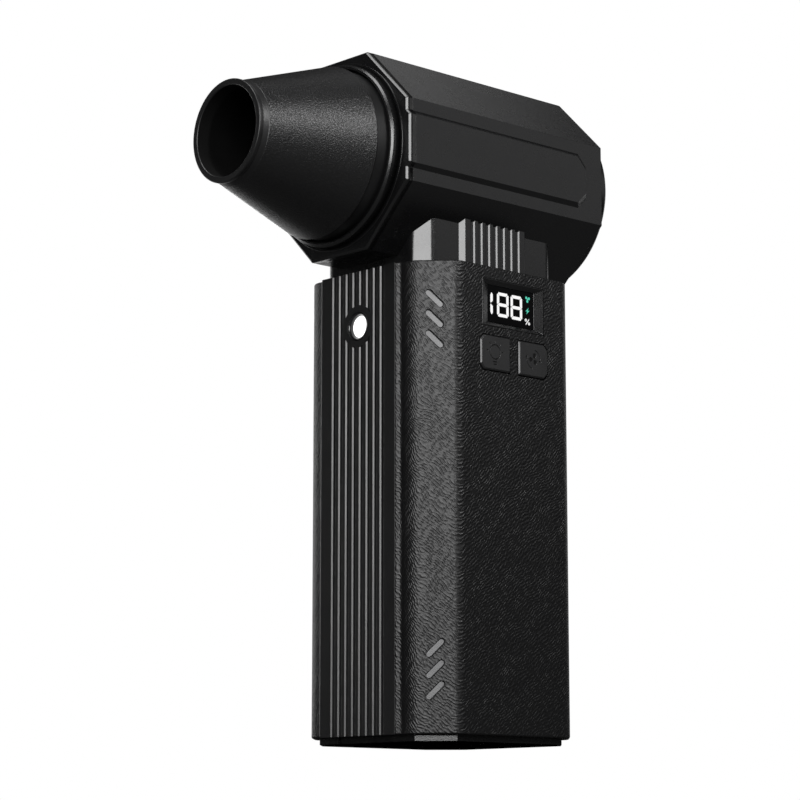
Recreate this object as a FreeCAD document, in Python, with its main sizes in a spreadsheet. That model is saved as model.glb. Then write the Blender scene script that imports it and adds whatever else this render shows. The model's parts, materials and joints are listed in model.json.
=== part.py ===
"""Hand-held turbo blower for drying a car: a leather-wrapped battery handle, an octagonal head and a cone nozzle.

Millimetres. +Z is up, the nozzle points to -Y, and the display and buttons face +X.
The origin is the centre of the base's flat underside, on the handle's own axis.
"""

import FreeCAD, Part
import math
import os
from types import SimpleNamespace

import Sketcher

Vector = FreeCAD.Vector
Rotation = FreeCAD.Rotation
Placement = FreeCAD.Placement

SIZES = {
    # handle: leather outline, inner tube and base
    "handle_width": 57.6,
    "handle_depth": 59.0,
    "handle_height": 125.0,
    "corner_cut": 9.15,
    "leather_thickness": 1.0,
    "strip_edge_radius": 4.5,
    "side_edge_radius": 1.5,
    "core_wall": 2.0,
    "cap_thickness": 2.0,
    "lip_depth": 1.5,
    "lip_gap": 0.15,
    "base_height": 1.7,
    "base_inset": 2.3,
    "base_plug": 2.8,
    "base_notch_width": 22.0,
    "base_notch_depth": 0.5,
    "screw_inset": 8.1,
    "boss_radius": 2.4,
    "boss_height": 8.0,
    # screws
    "screw_radius": 1.25,
    "screw_head_radius": 2.2,
    "screw_head_height": 1.3,
    "screw_gap": 0.15,
    "thread_gap": 0.02,
    "base_screw_length": 9.0,
    "small_screw_radius": 0.8,
    "small_head_radius": 1.6,
    "small_head_height": 0.8,
    "small_screw_length": 4.2,
    # ribbed front panel and lamp
    "panel_width": 29.7,
    "panel_proud": 1.15,
    "panel_gap": 0.1,
    "groove_count": 8,
    "groove_pitch": 2.76,
    "groove_floor": 0.9,
    "groove_depth": 0.4,
    "lamp_drop": 15.2,
    "lamp_boss_radius": 5.8,
    "lamp_ring_radius": 3.95,
    "lamp_lens_radius": 3.0,
    "lamp_recess": 0.7,
    "lamp_lens_thickness": 1.5,
    "lamp_gap": 0.05,
    "led_side": 3.0,
    "led_height": 1.0,
    "lamp_board_width": 16.0,
    "lamp_board_height": 12.0,
    "board_thickness": 1.2,
    # slots in the leather's front chamfers
    "slot_count": 3,
    "slot_pitch": 5.48,
    "slot_length": 6.4,
    "slot_radius": 0.95,
    "upper_slots_drop": 15.95,
    "lower_slots_rise": 16.6,
    # display on the right-hand face
    "display_width": 23.4,
    "display_height": 13.0,
    "display_drop": 9.9,
    "display_rim": 0.3,
    "window_width": 17.7,
    "window_height": 10.2,
    "window_sink": 1.0,
    "window_lap": 0.6,
    "window_thickness": 0.8,
    "frame_depth": 3.0,
    "frame_gap": 0.05,
    # buttons below the display
    "button_width": 11.1,
    "button_height": 9.4,
    "button_corner": 1.4,
    "button_bevel": 0.35,
    "button_spacing": 14.4,
    "button_drop": 23.7,
    "button_proud": 0.5,
    "button_gap": 0.3,
    "button_flange": 0.7,
    "button_flange_thickness": 0.8,
    "button_stop_gap": 0.1,
    "button_travel": 0.6,
    "switch_gap": 0.1,
    "switch_side": 4.5,
    "switch_stem_radius": 1.0,
    "switch_stem": 0.3,
    "button_board_width": 33.0,
    "button_board_height": 30.4,
    "button_board_drop": 19.2,
    "button_board_depth": 3.4,
    "board_post_radius": 1.8,
    "board_post_inset": 2.3,
    # neck between handle and head, set in from the handle's front and rear faces
    "neck_width": 41.6,
    "neck_inset": 3.1,
    "neck_corner": 6.0,
    "neck_gap": 3.15,
    "neck_cavity_width": 30.0,
    "neck_end_wall": 7.4,
    "neck_screw_x": 9.0,
    "neck_screw_y": 6.7,
    "rib_block_width": 25.4,
    "rib_block_proud": 1.3,
    "rib_count": 7,
    "rib_pitch": 2.86,
    "rib_floor": 0.9,
    "wire_hole_width": 18.0,
    "wire_hole_depth": 28.0,
    # octagonal head
    "head_across_flats": 54.6,
    "head_reach": 37.8,
    "head_length": 75.1,
    "head_wall": 2.0,
    "head_boss_radius": 2.4,
    "head_boss_height": 1.5,
    "bezel_thickness": 2.2,
    "bezel_bevel": 0.5,
    "side_panel_height": 13.3,
    "side_panel_proud": 1.15,
    "side_panel_stop": 7.6,
    "side_panel_corner": 3.2,
    # collar and nozzle
    "collar_radius": 25.0,
    "collar_length": 3.1,
    "collar_mouth_radius": 23.7,
    "collar_mouth_depth": 2.5,
    "collar_round": 0.6,
    "spigot_radius": 21.8,
    "spigot_gap": 0.1,
    "spigot_stop": 0.6,
    "stop_lip": 1.2,
    "shoulder_gap": 0.5,
    "cone_base_radius": 23.6,
    "cone_tip_radius": 14.0,
    "cone_step": 0.5,
    "base_band": 3.9,
    "nozzle_reach": 76.9,
    "nozzle_wall": 1.6,
    "tip_band": 1.2,
    "lip_radius": 13.9,
    "lip_length": 1.3,
    "lip_round": 0.3,
    "outlet_radius": 12.15,
    "outlet_land": 4.0,
    "seal_radius": 0.7,
    # rear cap and grille
    "cap_radius": 26.0,
    "cap_length": 4.2,
    "cap_round": 1.6,
    "cap_spigot": 2.8,
    "cap_spigot_gap": 0.2,
    "grille_radius": 23.0,
    "grille_gap": 0.1,
    "grille_thickness": 1.4,
    "grille_sink": 1.4,
    "grille_spokes": 12,
    "grille_rings": 3,
    "grille_bar": 1.1,
    "grille_hub_radius": 5.0,
    # duct, stator vanes and tail cone
    "duct_bore_radius": 22.8,
    "duct_wall": 1.4,
    "vane_count": 7,
    "vane_chord": 16.0,
    "vane_camber": 2.4,
    "vane_thickness": 1.6,
    "vane_angle": 74.0,
    "vane_centre": 4.0,
    "vane_ring_wall": 0.9,
    "hub_radius": 12.5,
    "hub_wall": 1.1,
    "hub_front": 8.0,
    "hub_rear": 16.6,
    "tail_length": 15.0,
    # motor
    "bell_radius": 10.7,
    "bell_wall": 0.8,
    "bell_front": 1.5,
    "bell_rear": 15.6,
    "magnet_thickness": 1.1,
    "magnet_length": 12.0,
    "air_gap": 0.5,
    "tooth_count": 9,
    "tooth_width": 1.8,
    "tooth_tip": 1.0,
    "yoke_radius": 5.2,
    "stack_length": 9.5,
    "winding_margin": 1.0,
    "mount_thickness": 1.6,
    "bearing_radius": 3.0,
    "bearing_length": 3.0,
    "bearing_tube_wall": 1.0,
    "shaft_radius": 1.5,
    "shaft_gap": 0.03,
    "shaft_front": 6.0,
    "clip_radius": 2.6,
    "clip_thickness": 0.5,
    # impeller
    "blade_count": 9,
    "blade_tip_gap": 0.4,
    "blade_centre": 24.5,
    "blade_root_chord": 12.5,
    "blade_tip_chord": 15.0,
    "blade_root_angle": 58.0,
    "blade_tip_angle": 32.0,
    "blade_camber": 1.3,
    "blade_thickness": 1.3,
    "impeller_gap": 0.5,
    "impeller_nose": 32.0,
    "nose_radius": 5.5,
    "hub_bore_boss": 4.0,
    "nut_radius": 3.4,
    "nut_length": 3.2,
    # battery pack
    "cell_radius": 10.6,
    "cell_length": 70.0,
    "cell_spacing": 21.8,
    "cell_button_radius": 4.0,
    "cell_button_height": 0.6,
    "cell_gap": 0.1,
    "holder_gap": 0.2,
    "holder_corner": 13.4,
    "holder_floor": 1.8,
    "holder_grip": 8.0,
    "strip_width": 8.0,
    "strip_thickness": 0.3,
    # main board and its parts
    "board_post_height": 6.0,
    "main_board_inset": 1.0,
    "main_board_screw": 14.0,
    "capacitor_radius": 5.0,
    "capacitor_length": 11.0,
    "transistor_width": 5.0,
    "transistor_length": 6.0,
    "transistor_height": 1.1,
    "transistor_pitch": 6.5,
    "capacitor_inset": 10.8,
    "transistor_inset": 9.25,
    "chip_side": 7.0,
    "chip_height": 1.0,
    "lead_radius": 0.7,
    "lead_pitch": 2.2,
    "lead_place": 3.0,
    # charging port on the rear face
    "port_width": 8.94,
    "port_height": 3.26,
    "port_length": 7.3,
    "port_wall": 0.3,
    "port_sink": 0.3,
    "tongue_width": 6.7,
    "tongue_height": 0.7,
    "port_bezel_width": 11.4,
    "port_bezel_height": 5.6,
    "port_flange": 0.8,
    "port_flange_thickness": 0.5,
    "port_gap": 0.15,
}


class Size:
    """A length that keeps its number together with the sheet expression that gives it."""

    def __init__(self, value, text):
        self.value = value
        self.text = text

    def __add__(self, other):
        other = as_size(other)
        return Size(self.value + other.value, f"({self.text} + {other.text})")

    def __radd__(self, other):
        return as_size(other) + self

    def __sub__(self, other):
        other = as_size(other)
        return Size(self.value - other.value, f"({self.text} - {other.text})")

    def __rsub__(self, other):
        return as_size(other) - self

    def __mul__(self, other):
        other = as_size(other)
        return Size(self.value * other.value, f"({self.text} * {other.text})")

    def __rmul__(self, other):
        return as_size(other) * self

    def __truediv__(self, other):
        other = as_size(other)
        return Size(self.value / other.value, f"({self.text} / {other.text})")

    def __rtruediv__(self, other):
        return as_size(other) / self

    def __neg__(self):
        return 0 - self


def as_size(term):
    if isinstance(term, Size):
        return term
    number = float(term)
    return Size(number, f"({number!r})")


def least(first, second):
    return Size(min(first.value, second.value), f"min({first.text}; {second.text})")


def root(term):
    return Size(math.sqrt(term.value), f"sqrt({term.text})")


def cosine(angle):
    return Size(math.cos(math.radians(angle.value)), f"cos({angle.text} * 1 deg)")


def sine(angle):
    return Size(math.sin(math.radians(angle.value)), f"sin({angle.text} * 1 deg)")


doc = FreeCAD.newDocument("car_dryer_blower")
sheet = doc.addObject("Spreadsheet::Sheet", "Sizes")
for row, (name, number) in enumerate(SIZES.items(), start=1):
    sheet.set(f"A{row}", name)
    sheet.set(f"B{row}", str(number))
    sheet.setAlias(f"B{row}", name)
doc.recompute()
size = SimpleNamespace(**{name: Size(float(sheet.get(name)), f"Sizes.{name}") for name in SIZES})

parts = []

SQRT2 = math.sqrt(2.0)
ALONG_Y = Rotation(Vector(1, 0, 0), -90)
ALONG_X = Rotation(Vector(0, 1, 0), 90)


# Helpers: binding, bodies and sketches

def bind(thing, path, term):
    thing.setExpression(path, as_size(term).text)


def place(thing, x=0, y=0, z=0, rotation=None):
    if rotation is not None:
        thing.Placement = Placement(Vector(), rotation)
    for axis, term in zip("xyz", (x, y, z)):
        bind(thing, f"Placement.Base.{axis}", term)


def part(thing, label):
    """Mark an object as a sub-part that gets a file of its own."""
    thing.Label = label
    parts.append(thing)
    return thing


def new_body(label):
    return part(doc.addObject("PartDesign::Body", label), label)


def origin_part(body, role):
    return next(feature for feature in body.Origin.OriginFeatures if feature.Role == role)


def sketch_on(body, plane, offset=0, rotation=None):
    """Sketch on an origin plane. XY looks along +Z, XZ along -Y and YZ along +X."""
    sketch = body.newObject("Sketcher::SketchObject", "Sketch")
    sketch.AttachmentSupport = [(origin_part(body, plane + "_Plane"), "")]
    sketch.MapMode = "FlatFace"
    if rotation is not None:
        sketch.AttachmentOffset = Placement(Vector(), rotation)
    bind(sketch, "AttachmentOffset.Base.z", offset)
    return sketch


def hold_point(sketch, geometry, position, x, y):
    for axis, kind, term in (("x", "DistanceX", as_size(x)), ("y", "DistanceY", as_size(y))):
        index = sketch.addConstraint(Sketcher.Constraint(kind, geometry, position, term.value))
        name = f"{axis}{index}"
        sketch.renameConstraint(index, name)
        bind(sketch, "Constraints." + name, term)


def hold_radius(sketch, geometry, radius):
    index = sketch.addConstraint(Sketcher.Constraint("Radius", geometry, radius.value))
    name = f"radius{index}"
    sketch.renameConstraint(index, name)
    bind(sketch, "Constraints." + name, radius)


def polygon(sketch, points):
    """Closed outline of straight lines through the points."""
    points = [(as_size(x), as_size(y)) for x, y in points]
    corners = [Vector(x.value, y.value, 0) for x, y in points]
    first = sketch.GeometryCount
    count = len(corners)
    lines = [Part.LineSegment(corners[i], corners[(i + 1) % count]) for i in range(count)]
    sketch.addGeometry(lines, False)
    joins = [Sketcher.Constraint("Coincident", first + i, 2, first + (i + 1) % count, 1) for i in range(count)]
    sketch.addConstraint(joins)
    for i, (x, y) in enumerate(points):
        hold_point(sketch, first + i, 1, x, y)
    return sketch


def rectangle(sketch, x, y, width, height):
    """Rectangle about the centre (x, y)."""
    left, right = x - width / 2, x + width / 2
    low, high = y - height / 2, y + height / 2
    return polygon(sketch, [(left, low), (right, low), (right, high), (left, high)])


def circle(sketch, x, y, radius):
    x, y, radius = as_size(x), as_size(y), as_size(radius)
    shape = Part.Circle(Vector(x.value, y.value, 0), Vector(0, 0, 1), radius.value)
    index = sketch.addGeometry(shape, False)
    hold_point(sketch, index, 3, x, y)
    hold_radius(sketch, index, radius)
    return sketch


def stadium(sketch, x, y, length, radius):
    """Slot with round ends along the sketch's own x, about the centre (x, y)."""
    x, y, radius = as_size(x), as_size(y), as_size(radius)
    reach = length / 2 - radius
    left = Vector((x - reach).value, y.value, 0)
    right = Vector((x + reach).value, y.value, 0)
    up = Vector(0, radius.value, 0)
    normal = Vector(0, 0, 1)
    first = sketch.GeometryCount
    sketch.addGeometry([
        Part.ArcOfCircle(Part.Circle(left, normal, radius.value), math.pi / 2, 3 * math.pi / 2),
        Part.ArcOfCircle(Part.Circle(right, normal, radius.value), -math.pi / 2, math.pi / 2),
        Part.LineSegment(left + up, right + up),
        Part.LineSegment(left - up, right - up),
    ], False)
    left_arc, right_arc, top, bottom = range(first, first + 4)
    sketch.addConstraint([
        Sketcher.Constraint("Tangent", left_arc, 1, top, 1),
        Sketcher.Constraint("Tangent", right_arc, 2, top, 2),
        Sketcher.Constraint("Tangent", left_arc, 2, bottom, 1),
        Sketcher.Constraint("Tangent", right_arc, 1, bottom, 2),
    ])
    hold_point(sketch, left_arc, 3, x - reach, y)
    hold_point(sketch, right_arc, 3, x + reach, y)
    hold_radius(sketch, left_arc, radius)
    return sketch


def blade_section(sketch, centre, chord, angle, camber, thickness):
    """Thin cambered section: two arcs between a leading and a trailing point.

    The chord leans by angle from the sketch's x, and its middle is at (0, centre).
    """
    half_x, half_y = chord / 2 * cosine(angle), chord / 2 * sine(angle)
    trailing = (-half_x, centre - half_y)
    leading = (half_x, centre + half_y)
    start = Vector(trailing[0].value, trailing[1].value, 0)
    end = Vector(leading[0].value, leading[1].value, 0)
    across = Vector(-sine(angle).value, cosine(angle).value, 0)
    middle = (start + end) * 0.5
    first = sketch.GeometryCount
    sags = (camber + thickness / 2, camber - thickness / 2)
    for sag in sags:
        arc = Part.Arc(start, middle + across * sag.value, end)
        sketch.addGeometry(arc, False)
    for geometry, sag in zip((first, first + 1), sags):
        points = (sketch.getPoint(geometry, 1), sketch.getPoint(geometry, 2))
        for position, spot in enumerate(points, start=1):
            x, y = trailing if (spot - start).Length < (spot - end).Length else leading
            if geometry == first:
                hold_point(sketch, geometry, position, x, y)
            else:
                twin = 1 if (sketch.getPoint(first, 1) - spot).Length < (sketch.getPoint(first, 2) - spot).Length else 2
                sketch.addConstraint(Sketcher.Constraint("Coincident", first, twin, geometry, position))
        hold_radius(sketch, geometry, (chord * chord / 4 + sag * sag) / (2 * sag))
    return sketch


# Helpers: features

def add(body, kind, sketch=None):
    feature = body.newObject("PartDesign::" + kind, kind)
    if sketch is not None:
        feature.Profile = sketch
    return feature


def pad(body, sketch, length, backwards=False):
    feature = add(body, "Pad", sketch)
    feature.Reversed = backwards
    bind(feature, "Length", length)
    return feature


def pocket(body, sketch, depth, backwards=False):
    """Cut against the sketch's normal, or along it when backwards."""
    feature = add(body, "Pocket", sketch)
    feature.Reversed = backwards
    bind(feature, "Length", depth)
    return feature


def turn(body, sketch, kind="Revolution"):
    """Full turn about the sketch's own x axis."""
    feature = add(body, kind, sketch)
    feature.ReferenceAxis = (sketch, ["H_Axis"])
    feature.Angle = 360
    return feature


def mirror(body, features):
    """Repeat the features on the other side of the plane x = 0."""
    feature = add(body, "Mirrored")
    feature.Originals = features
    feature.MirrorPlane = (origin_part(body, "YZ_Plane"), [""])
    body.Tip = feature
    return feature


def in_line(body, features, axis, count, pitch):
    feature = add(body, "LinearPattern")
    feature.Originals = features
    feature.Direction = (origin_part(body, axis + "_Axis"), [""])
    bind(feature, "Length", (count - 1) * pitch)
    bind(feature, "Occurrences", count)
    body.Tip = feature
    return feature


def around(body, features, axis, count):
    feature = add(body, "PolarPattern")
    feature.Originals = features
    feature.Axis = (origin_part(body, axis + "_Axis"), [""])
    feature.Angle = 360
    bind(feature, "Occurrences", count)
    body.Tip = feature
    return feature


def edge_names(body, wanted):
    """Names of the body's edges that a test picks by their two ends and middle."""
    doc.recompute()
    names = []
    for index, edge in enumerate(body.Shape.Edges, start=1):
        middle = edge.valueAt((edge.FirstParameter + edge.LastParameter) / 2)
        if wanted(edge, middle):
            names.append(f"Edge{index}")
    return names


def dress(body, kind, prop, term, wanted):
    """Fillet or chamfer on the edges that a test picks."""
    names = edge_names(body, wanted)
    tip = body.Tip
    feature = add(body, kind)
    feature.Base = (tip, names)
    bind(feature, prop, term)
    return feature


def near(first, second):
    return abs(first - as_size(second).value) < 0.02


# Helpers: plain solids and groups

def block(x0, x1, y0, y1, z0, z1):
    box = doc.addObject("Part::Box", "Block")
    for prop, low, high in (("Length", x0, x1), ("Width", y0, y1), ("Height", z0, z1)):
        bind(box, prop, as_size(high) - low)
    place(box, x0, y0, z0)
    return box


def rod(radius, length, x, y, z, rotation=None):
    cylinder = doc.addObject("Part::Cylinder", "Rod")
    bind(cylinder, "Radius", radius)
    bind(cylinder, "Height", length)
    place(cylinder, x, y, z, rotation)
    return cylinder


def fuse(base, tool):
    joined = doc.addObject("Part::Fuse", "Fuse")
    joined.Base = base
    joined.Tool = tool
    return joined


def group(label, members):
    """Several separate solids that share one name."""
    compound = doc.addObject("Part::Compound", label)
    compound.Links = members
    return part(compound, label)


def four_corners(x, y):
    return [(side * x, end * y) for side in (-1, 1) for end in (-1, 1)]


# Heights and places that several sub-parts share

half_width = size.handle_width / 2
half_depth = size.handle_depth / 2
leather_bottom = size.base_height
handle_top = size.base_height + size.handle_height
core_top = handle_top - size.cap_thickness
core_inset = size.leather_thickness
cavity_inset = size.leather_thickness + size.core_wall
core_side = half_width - cavity_inset
core_front = half_depth - cavity_inset
panel_face = half_depth + size.panel_proud
core_face = half_depth - core_inset
head_radius = size.head_across_flats / 2
head_half_flat = head_radius * math.tan(math.pi / 8)
head_bottom = handle_top + size.neck_gap
axis_z = head_bottom + head_radius
head_front = size.bezel_thickness - size.head_reach
head_rear = size.head_length - size.head_reach
lamp_z = handle_top - size.lamp_drop
display_z = handle_top - size.display_drop
button_z = handle_top - size.button_drop
button_board_z = handle_top - size.button_board_drop
board_front = core_side - size.button_board_depth
screw_x = half_width - size.screw_inset
screw_y = half_depth - size.screw_inset
# the neck and its screws keep their distance from the handle's front and rear faces
neck_screw_line = half_depth - size.neck_screw_y
neck_end = half_depth - size.neck_inset
neck_cavity_end = neck_end - size.neck_end_wall
plug_top = size.base_height + size.base_plug
cell_bottom = plug_top + size.holder_floor
cell_top = cell_bottom + size.cell_length
holder_top = cell_top + size.holder_floor
main_board_bottom = holder_top + size.board_post_height
main_board_top = main_board_bottom + size.board_thickness
port_z = main_board_top + size.port_height / 2
duct_rear = head_rear - size.cap_spigot
collar_front = size.head_reach + size.collar_length


def chamfered(width, depth, cut, inset=0):
    """Corners of a rectangle with cut corners, all moved inwards by inset."""
    inset = as_size(inset)
    x, y = width / 2 - inset, depth / 2 - inset
    corner = cut - inset * (2 - SQRT2)
    return [(x, corner - y), (x, y - corner), (x - corner, y), (corner - x, y),
            (-x, y - corner), (-x, corner - y), (corner - x, -y), (x - corner, -y)]


def handle_outline(inset=0):
    return chamfered(size.handle_width, size.handle_depth, size.corner_cut, inset)


# Base and handle tube

def make_base_cover():
    body = new_body("base_cover")
    pad(body, polygon(sketch_on(body, "XY"), handle_outline(size.base_inset)), size.base_height)
    plug = polygon(sketch_on(body, "XY", size.base_height), handle_outline(cavity_inset + size.lip_gap))
    pad(body, plug, size.base_plug)
    notch = sketch_on(body, "XY")
    front = size.base_inset - half_depth
    rectangle(notch, as_size(0), front, size.base_notch_width, 2 * size.base_notch_depth)
    pocket(body, notch, size.base_height, backwards=True)
    heads = sketch_on(body, "XY")
    shanks = sketch_on(body, "XY")
    for x, y in four_corners(screw_x, screw_y):
        circle(heads, x, y, size.screw_head_radius + size.screw_gap)
        circle(shanks, x, y, size.screw_radius + size.screw_gap)
    pocket(body, heads, size.base_height, backwards=True)
    pocket(body, shanks, plug_top, backwards=True)


def make_handle_core():
    body = new_body("handle_core")
    tube = polygon(sketch_on(body, "XY", leather_bottom), handle_outline(core_inset))
    polygon(tube, handle_outline(cavity_inset))
    pad(body, tube, core_top - leather_bottom)
    bosses = sketch_on(body, "XY", plug_top)
    for x, y in four_corners(screw_x, screw_y):
        circle(bosses, x, y, size.boss_radius)
    pad(body, bosses, size.boss_height)
    threads = sketch_on(body, "XY", plug_top)
    for x, y in four_corners(screw_x, screw_y):
        circle(threads, x, y, size.screw_radius + size.thread_gap)
    pocket(body, threads, size.boss_height, backwards=True)
    posts = sketch_on(body, "YZ", board_front)
    for y, z in button_board_corners():
        circle(posts, y, z, size.board_post_radius)
    pad(body, posts, size.button_board_depth + size.core_wall / 2)
    post_holes = sketch_on(body, "YZ", board_front)
    for y, z in button_board_corners():
        circle(post_holes, y, z, size.small_screw_radius + size.thread_gap)
    pocket(body, post_holes, size.small_screw_length - size.board_thickness, backwards=True)
    lamp_hole = circle(sketch_on(body, "XZ", half_depth), 0, lamp_z, size.lamp_ring_radius + size.lamp_gap)
    pocket(body, lamp_hole, cavity_inset + size.core_wall)
    cut_side_openings(body)


def button_board_corners():
    y = size.button_board_width / 2 - size.board_post_inset
    z = size.button_board_height / 2 - size.board_post_inset
    return [(side * y, button_board_z + end * z) for side in (-1, 1) for end in (-1, 1)]


def cut_side_openings(body):
    """Openings for the display, the two buttons and the charging port."""
    openings = sketch_on(body, "YZ", half_width)
    gap = 2 * size.frame_gap
    rectangle(openings, as_size(0), display_z, size.display_width + gap, size.display_height + gap)
    for side in (-1, 1):
        polygon(openings, button_outline(side, size.button_gap))
    pocket(body, openings, cavity_inset)
    port = sketch_on(body, "XZ", -half_depth)
    gap = size.port_gap
    stadium(port, 0, port_z, size.port_bezel_width + 2 * gap, size.port_bezel_height / 2 + gap)
    pocket(body, port, cavity_inset, backwards=True)


def button_outline(side, grow=0):
    """Button seen from the right: its two outer corners are cut. side is -1 at the front."""
    grow = as_size(grow)
    centre = side * size.button_spacing / 2
    inner = centre - side * (size.button_width / 2 + grow)
    outer = centre + side * (size.button_width / 2 + grow)
    corner = size.button_corner
    step = side * corner
    low = button_z - size.button_height / 2 - grow
    high = button_z + size.button_height / 2 + grow
    return [(inner, low), (outer - step, low), (outer, low + corner),
            (outer, high - corner), (outer - step, high), (inner, high)]


def make_leather_wrap():
    body = new_body("leather_wrap")
    lip = size.panel_width / 2
    slope = lip + size.panel_proud
    outer = handle_outline()
    inner = handle_outline(core_inset)
    # the outline runs from the front lip round the back and returns along the inner face
    outline = [(lip, -panel_face), (slope, -half_depth), outer[7], outer[0], outer[1], outer[2],
               outer[3], outer[4], outer[5], outer[6], (-slope, -half_depth), (-lip, -panel_face),
               (-lip, -core_face), inner[6], inner[5], inner[4], inner[3], inner[2], inner[1],
               inner[0], inner[7], (lip, -core_face)]
    pad(body, polygon(sketch_on(body, "XY", leather_bottom), outline), size.handle_height)
    strip_x = half_width - size.corner_cut
    side_y = half_depth - size.corner_cut
    # a fillet needs 0.41 of its radius on each side of a 45 degree corner
    strip_round = least(size.strip_edge_radius, 2 * (strip_x - slope))
    for prop, x, y in ((strip_round, strip_x, half_depth), (size.side_edge_radius, half_width, side_y)):
        def on_corner(edge, middle, x=x, y=y):
            return edge.Length > 50 and near(abs(middle.x), x) and near(abs(middle.y), y)
        dress(body, "Fillet", "Radius", prop, on_corner)
    upper = cut_slot_row(body, handle_top - size.upper_slots_drop, -45)
    lower = cut_slot_row(body, leather_bottom + size.lower_slots_rise, 45)
    mirror(body, [upper, lower])
    cut_side_openings(body)


def cut_slot_row(body, middle_z, tilt):
    """Row of slanted slots on the right-hand front chamfer, one above the other."""
    chamfer_x = half_width - size.corner_cut / 2
    chamfer_y = size.corner_cut / 2 - half_depth
    sketch = body.newObject("Sketcher::SketchObject", "Slots")
    sketch.AttachmentSupport = [(origin_part(body, "XZ_Plane"), "")]
    sketch.MapMode = "FlatFace"
    onto_chamfer = Rotation(Vector(0, 1, 0), 45)
    tilted = Rotation(Vector(0, 0, 1), tilt)
    sketch.AttachmentOffset = Placement(Vector(), onto_chamfer.multiply(tilted))
    for axis, term in zip("xyz", (chamfer_x, middle_z, -chamfer_y)):
        bind(sketch, f"AttachmentOffset.Base.{axis}", term)
    count = int(size.slot_count.value)
    lean = math.radians(tilt)
    for index in range(count):
        rise = (index - (count - 1) / 2) * size.slot_pitch
        stadium(sketch, rise * math.sin(lean), rise * math.cos(lean), size.slot_length, size.slot_radius)
    return pocket(body, sketch, size.leather_thickness)


# Ribbed panel and lamp

def make_front_panel():
    body = new_body("front_panel")
    width = size.panel_width - 2 * size.panel_gap
    section = sketch_on(body, "XY", leather_bottom)
    rectangle(section, as_size(0), -(core_face + panel_face) / 2, width, panel_face - core_face)
    pad(body, section, size.handle_height)
    groove = sketch_on(body, "XY", handle_top)
    centre = -(size.groove_count - 1) / 2 * size.groove_pitch
    v_groove(groove, centre, size.groove_floor, size.groove_depth)
    cut = pocket(body, groove, size.handle_height)
    in_line(body, [cut], "X", size.groove_count, size.groove_pitch)
    pad(body, circle(sketch_on(body, "XZ", core_face), 0, lamp_z, size.lamp_boss_radius), panel_face - core_face)
    hole = circle(sketch_on(body, "XZ", panel_face), 0, lamp_z, size.lamp_ring_radius + size.lamp_gap)
    pocket(body, hole, panel_face - core_face)


def v_groove(sketch, centre, floor, depth):
    """Groove in the front face with 45 degree walls and a flat floor."""
    foot, mouth = floor / 2, floor / 2 + depth
    polygon(sketch, [(centre - mouth, -panel_face), (centre - foot, depth - panel_face),
                     (centre + foot, depth - panel_face), (centre + mouth, -panel_face)])


def make_lamp():
    ring_rear = core_front
    lens_front = panel_face - size.lamp_recess
    lens_rear = lens_front - size.lamp_lens_thickness
    ring = new_body("lamp_ring")
    outer = size.lamp_ring_radius
    bore = size.lamp_lens_radius
    turn(ring, polygon(sketch_on(ring, "YZ"), [
        (-panel_face, outer), (-ring_rear, outer), (-ring_rear, bore), (-lens_front, bore),
        (-panel_face, outer - size.lamp_gap)]))
    place(ring, z=lamp_z)
    lens = new_body("lamp_lens")
    edge = size.lamp_lens_thickness / 4
    turn(lens, polygon(sketch_on(lens, "YZ"), [
        (-lens_front, 0), (-lens_front, bore - edge), (edge - lens_front, bore), (-lens_rear, bore),
        (-lens_rear, 0)]))
    place(lens, z=lamp_z)
    half = size.led_side / 2
    part(block(-half, half, -core_front - size.led_height, -core_front, lamp_z - half, lamp_z + half), "lamp_led")
    wide, tall = size.lamp_board_width / 2, size.lamp_board_height / 2
    board = block(-wide, wide, -core_front, size.board_thickness - core_front, lamp_z - tall, lamp_z + tall)
    part(board, "lamp_board")


# Display and buttons

def make_display():
    face = half_width
    sill = half_width - size.window_sink
    frame = new_body("display_frame")
    rear = face - size.frame_depth
    outline = rectangle(sketch_on(frame, "YZ", rear), as_size(0), display_z, size.display_width, size.display_height)
    pad(frame, outline, size.frame_depth)
    mouth = sketch_on(frame, "YZ", face)
    rim = 2 * size.display_rim
    rectangle(mouth, as_size(0), display_z, size.display_width - rim, size.display_height - rim)
    throat = rectangle(sketch_on(frame, "YZ", sill), as_size(0), display_z, size.window_width, size.window_height)
    slope = add(frame, "SubtractiveLoft", mouth)
    slope.Sections = [throat]
    slope.Ruled = True
    opening = sketch_on(frame, "YZ", sill)
    rectangle(opening, as_size(0), display_z, size.window_width, size.window_height)
    pocket(frame, opening, size.frame_depth)
    lap = 2 * size.window_lap
    rebate = sketch_on(frame, "YZ", sill - size.display_rim)
    rectangle(rebate, as_size(0), display_z, size.window_width + lap, size.window_height + lap)
    pocket(frame, rebate, size.frame_depth)

    window = new_body("display_window")
    front = sill - size.display_rim
    gap = 2 * size.frame_gap
    pane = sketch_on(window, "YZ", front - size.window_thickness)
    rectangle(pane, as_size(0), display_z, size.window_width + lap - gap, size.window_height + lap - gap)
    pad(window, pane, size.window_thickness)
    tablet = rectangle(sketch_on(window, "YZ", front), as_size(0), display_z,
                       size.window_width - gap, size.window_height - gap)
    pad(window, tablet, size.display_rim)

    module = new_body("display_module")
    case = sketch_on(module, "YZ", board_front)
    rectangle(case, as_size(0), display_z, size.window_width, size.window_height)
    pad(module, case, front - size.window_thickness - board_front)


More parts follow.
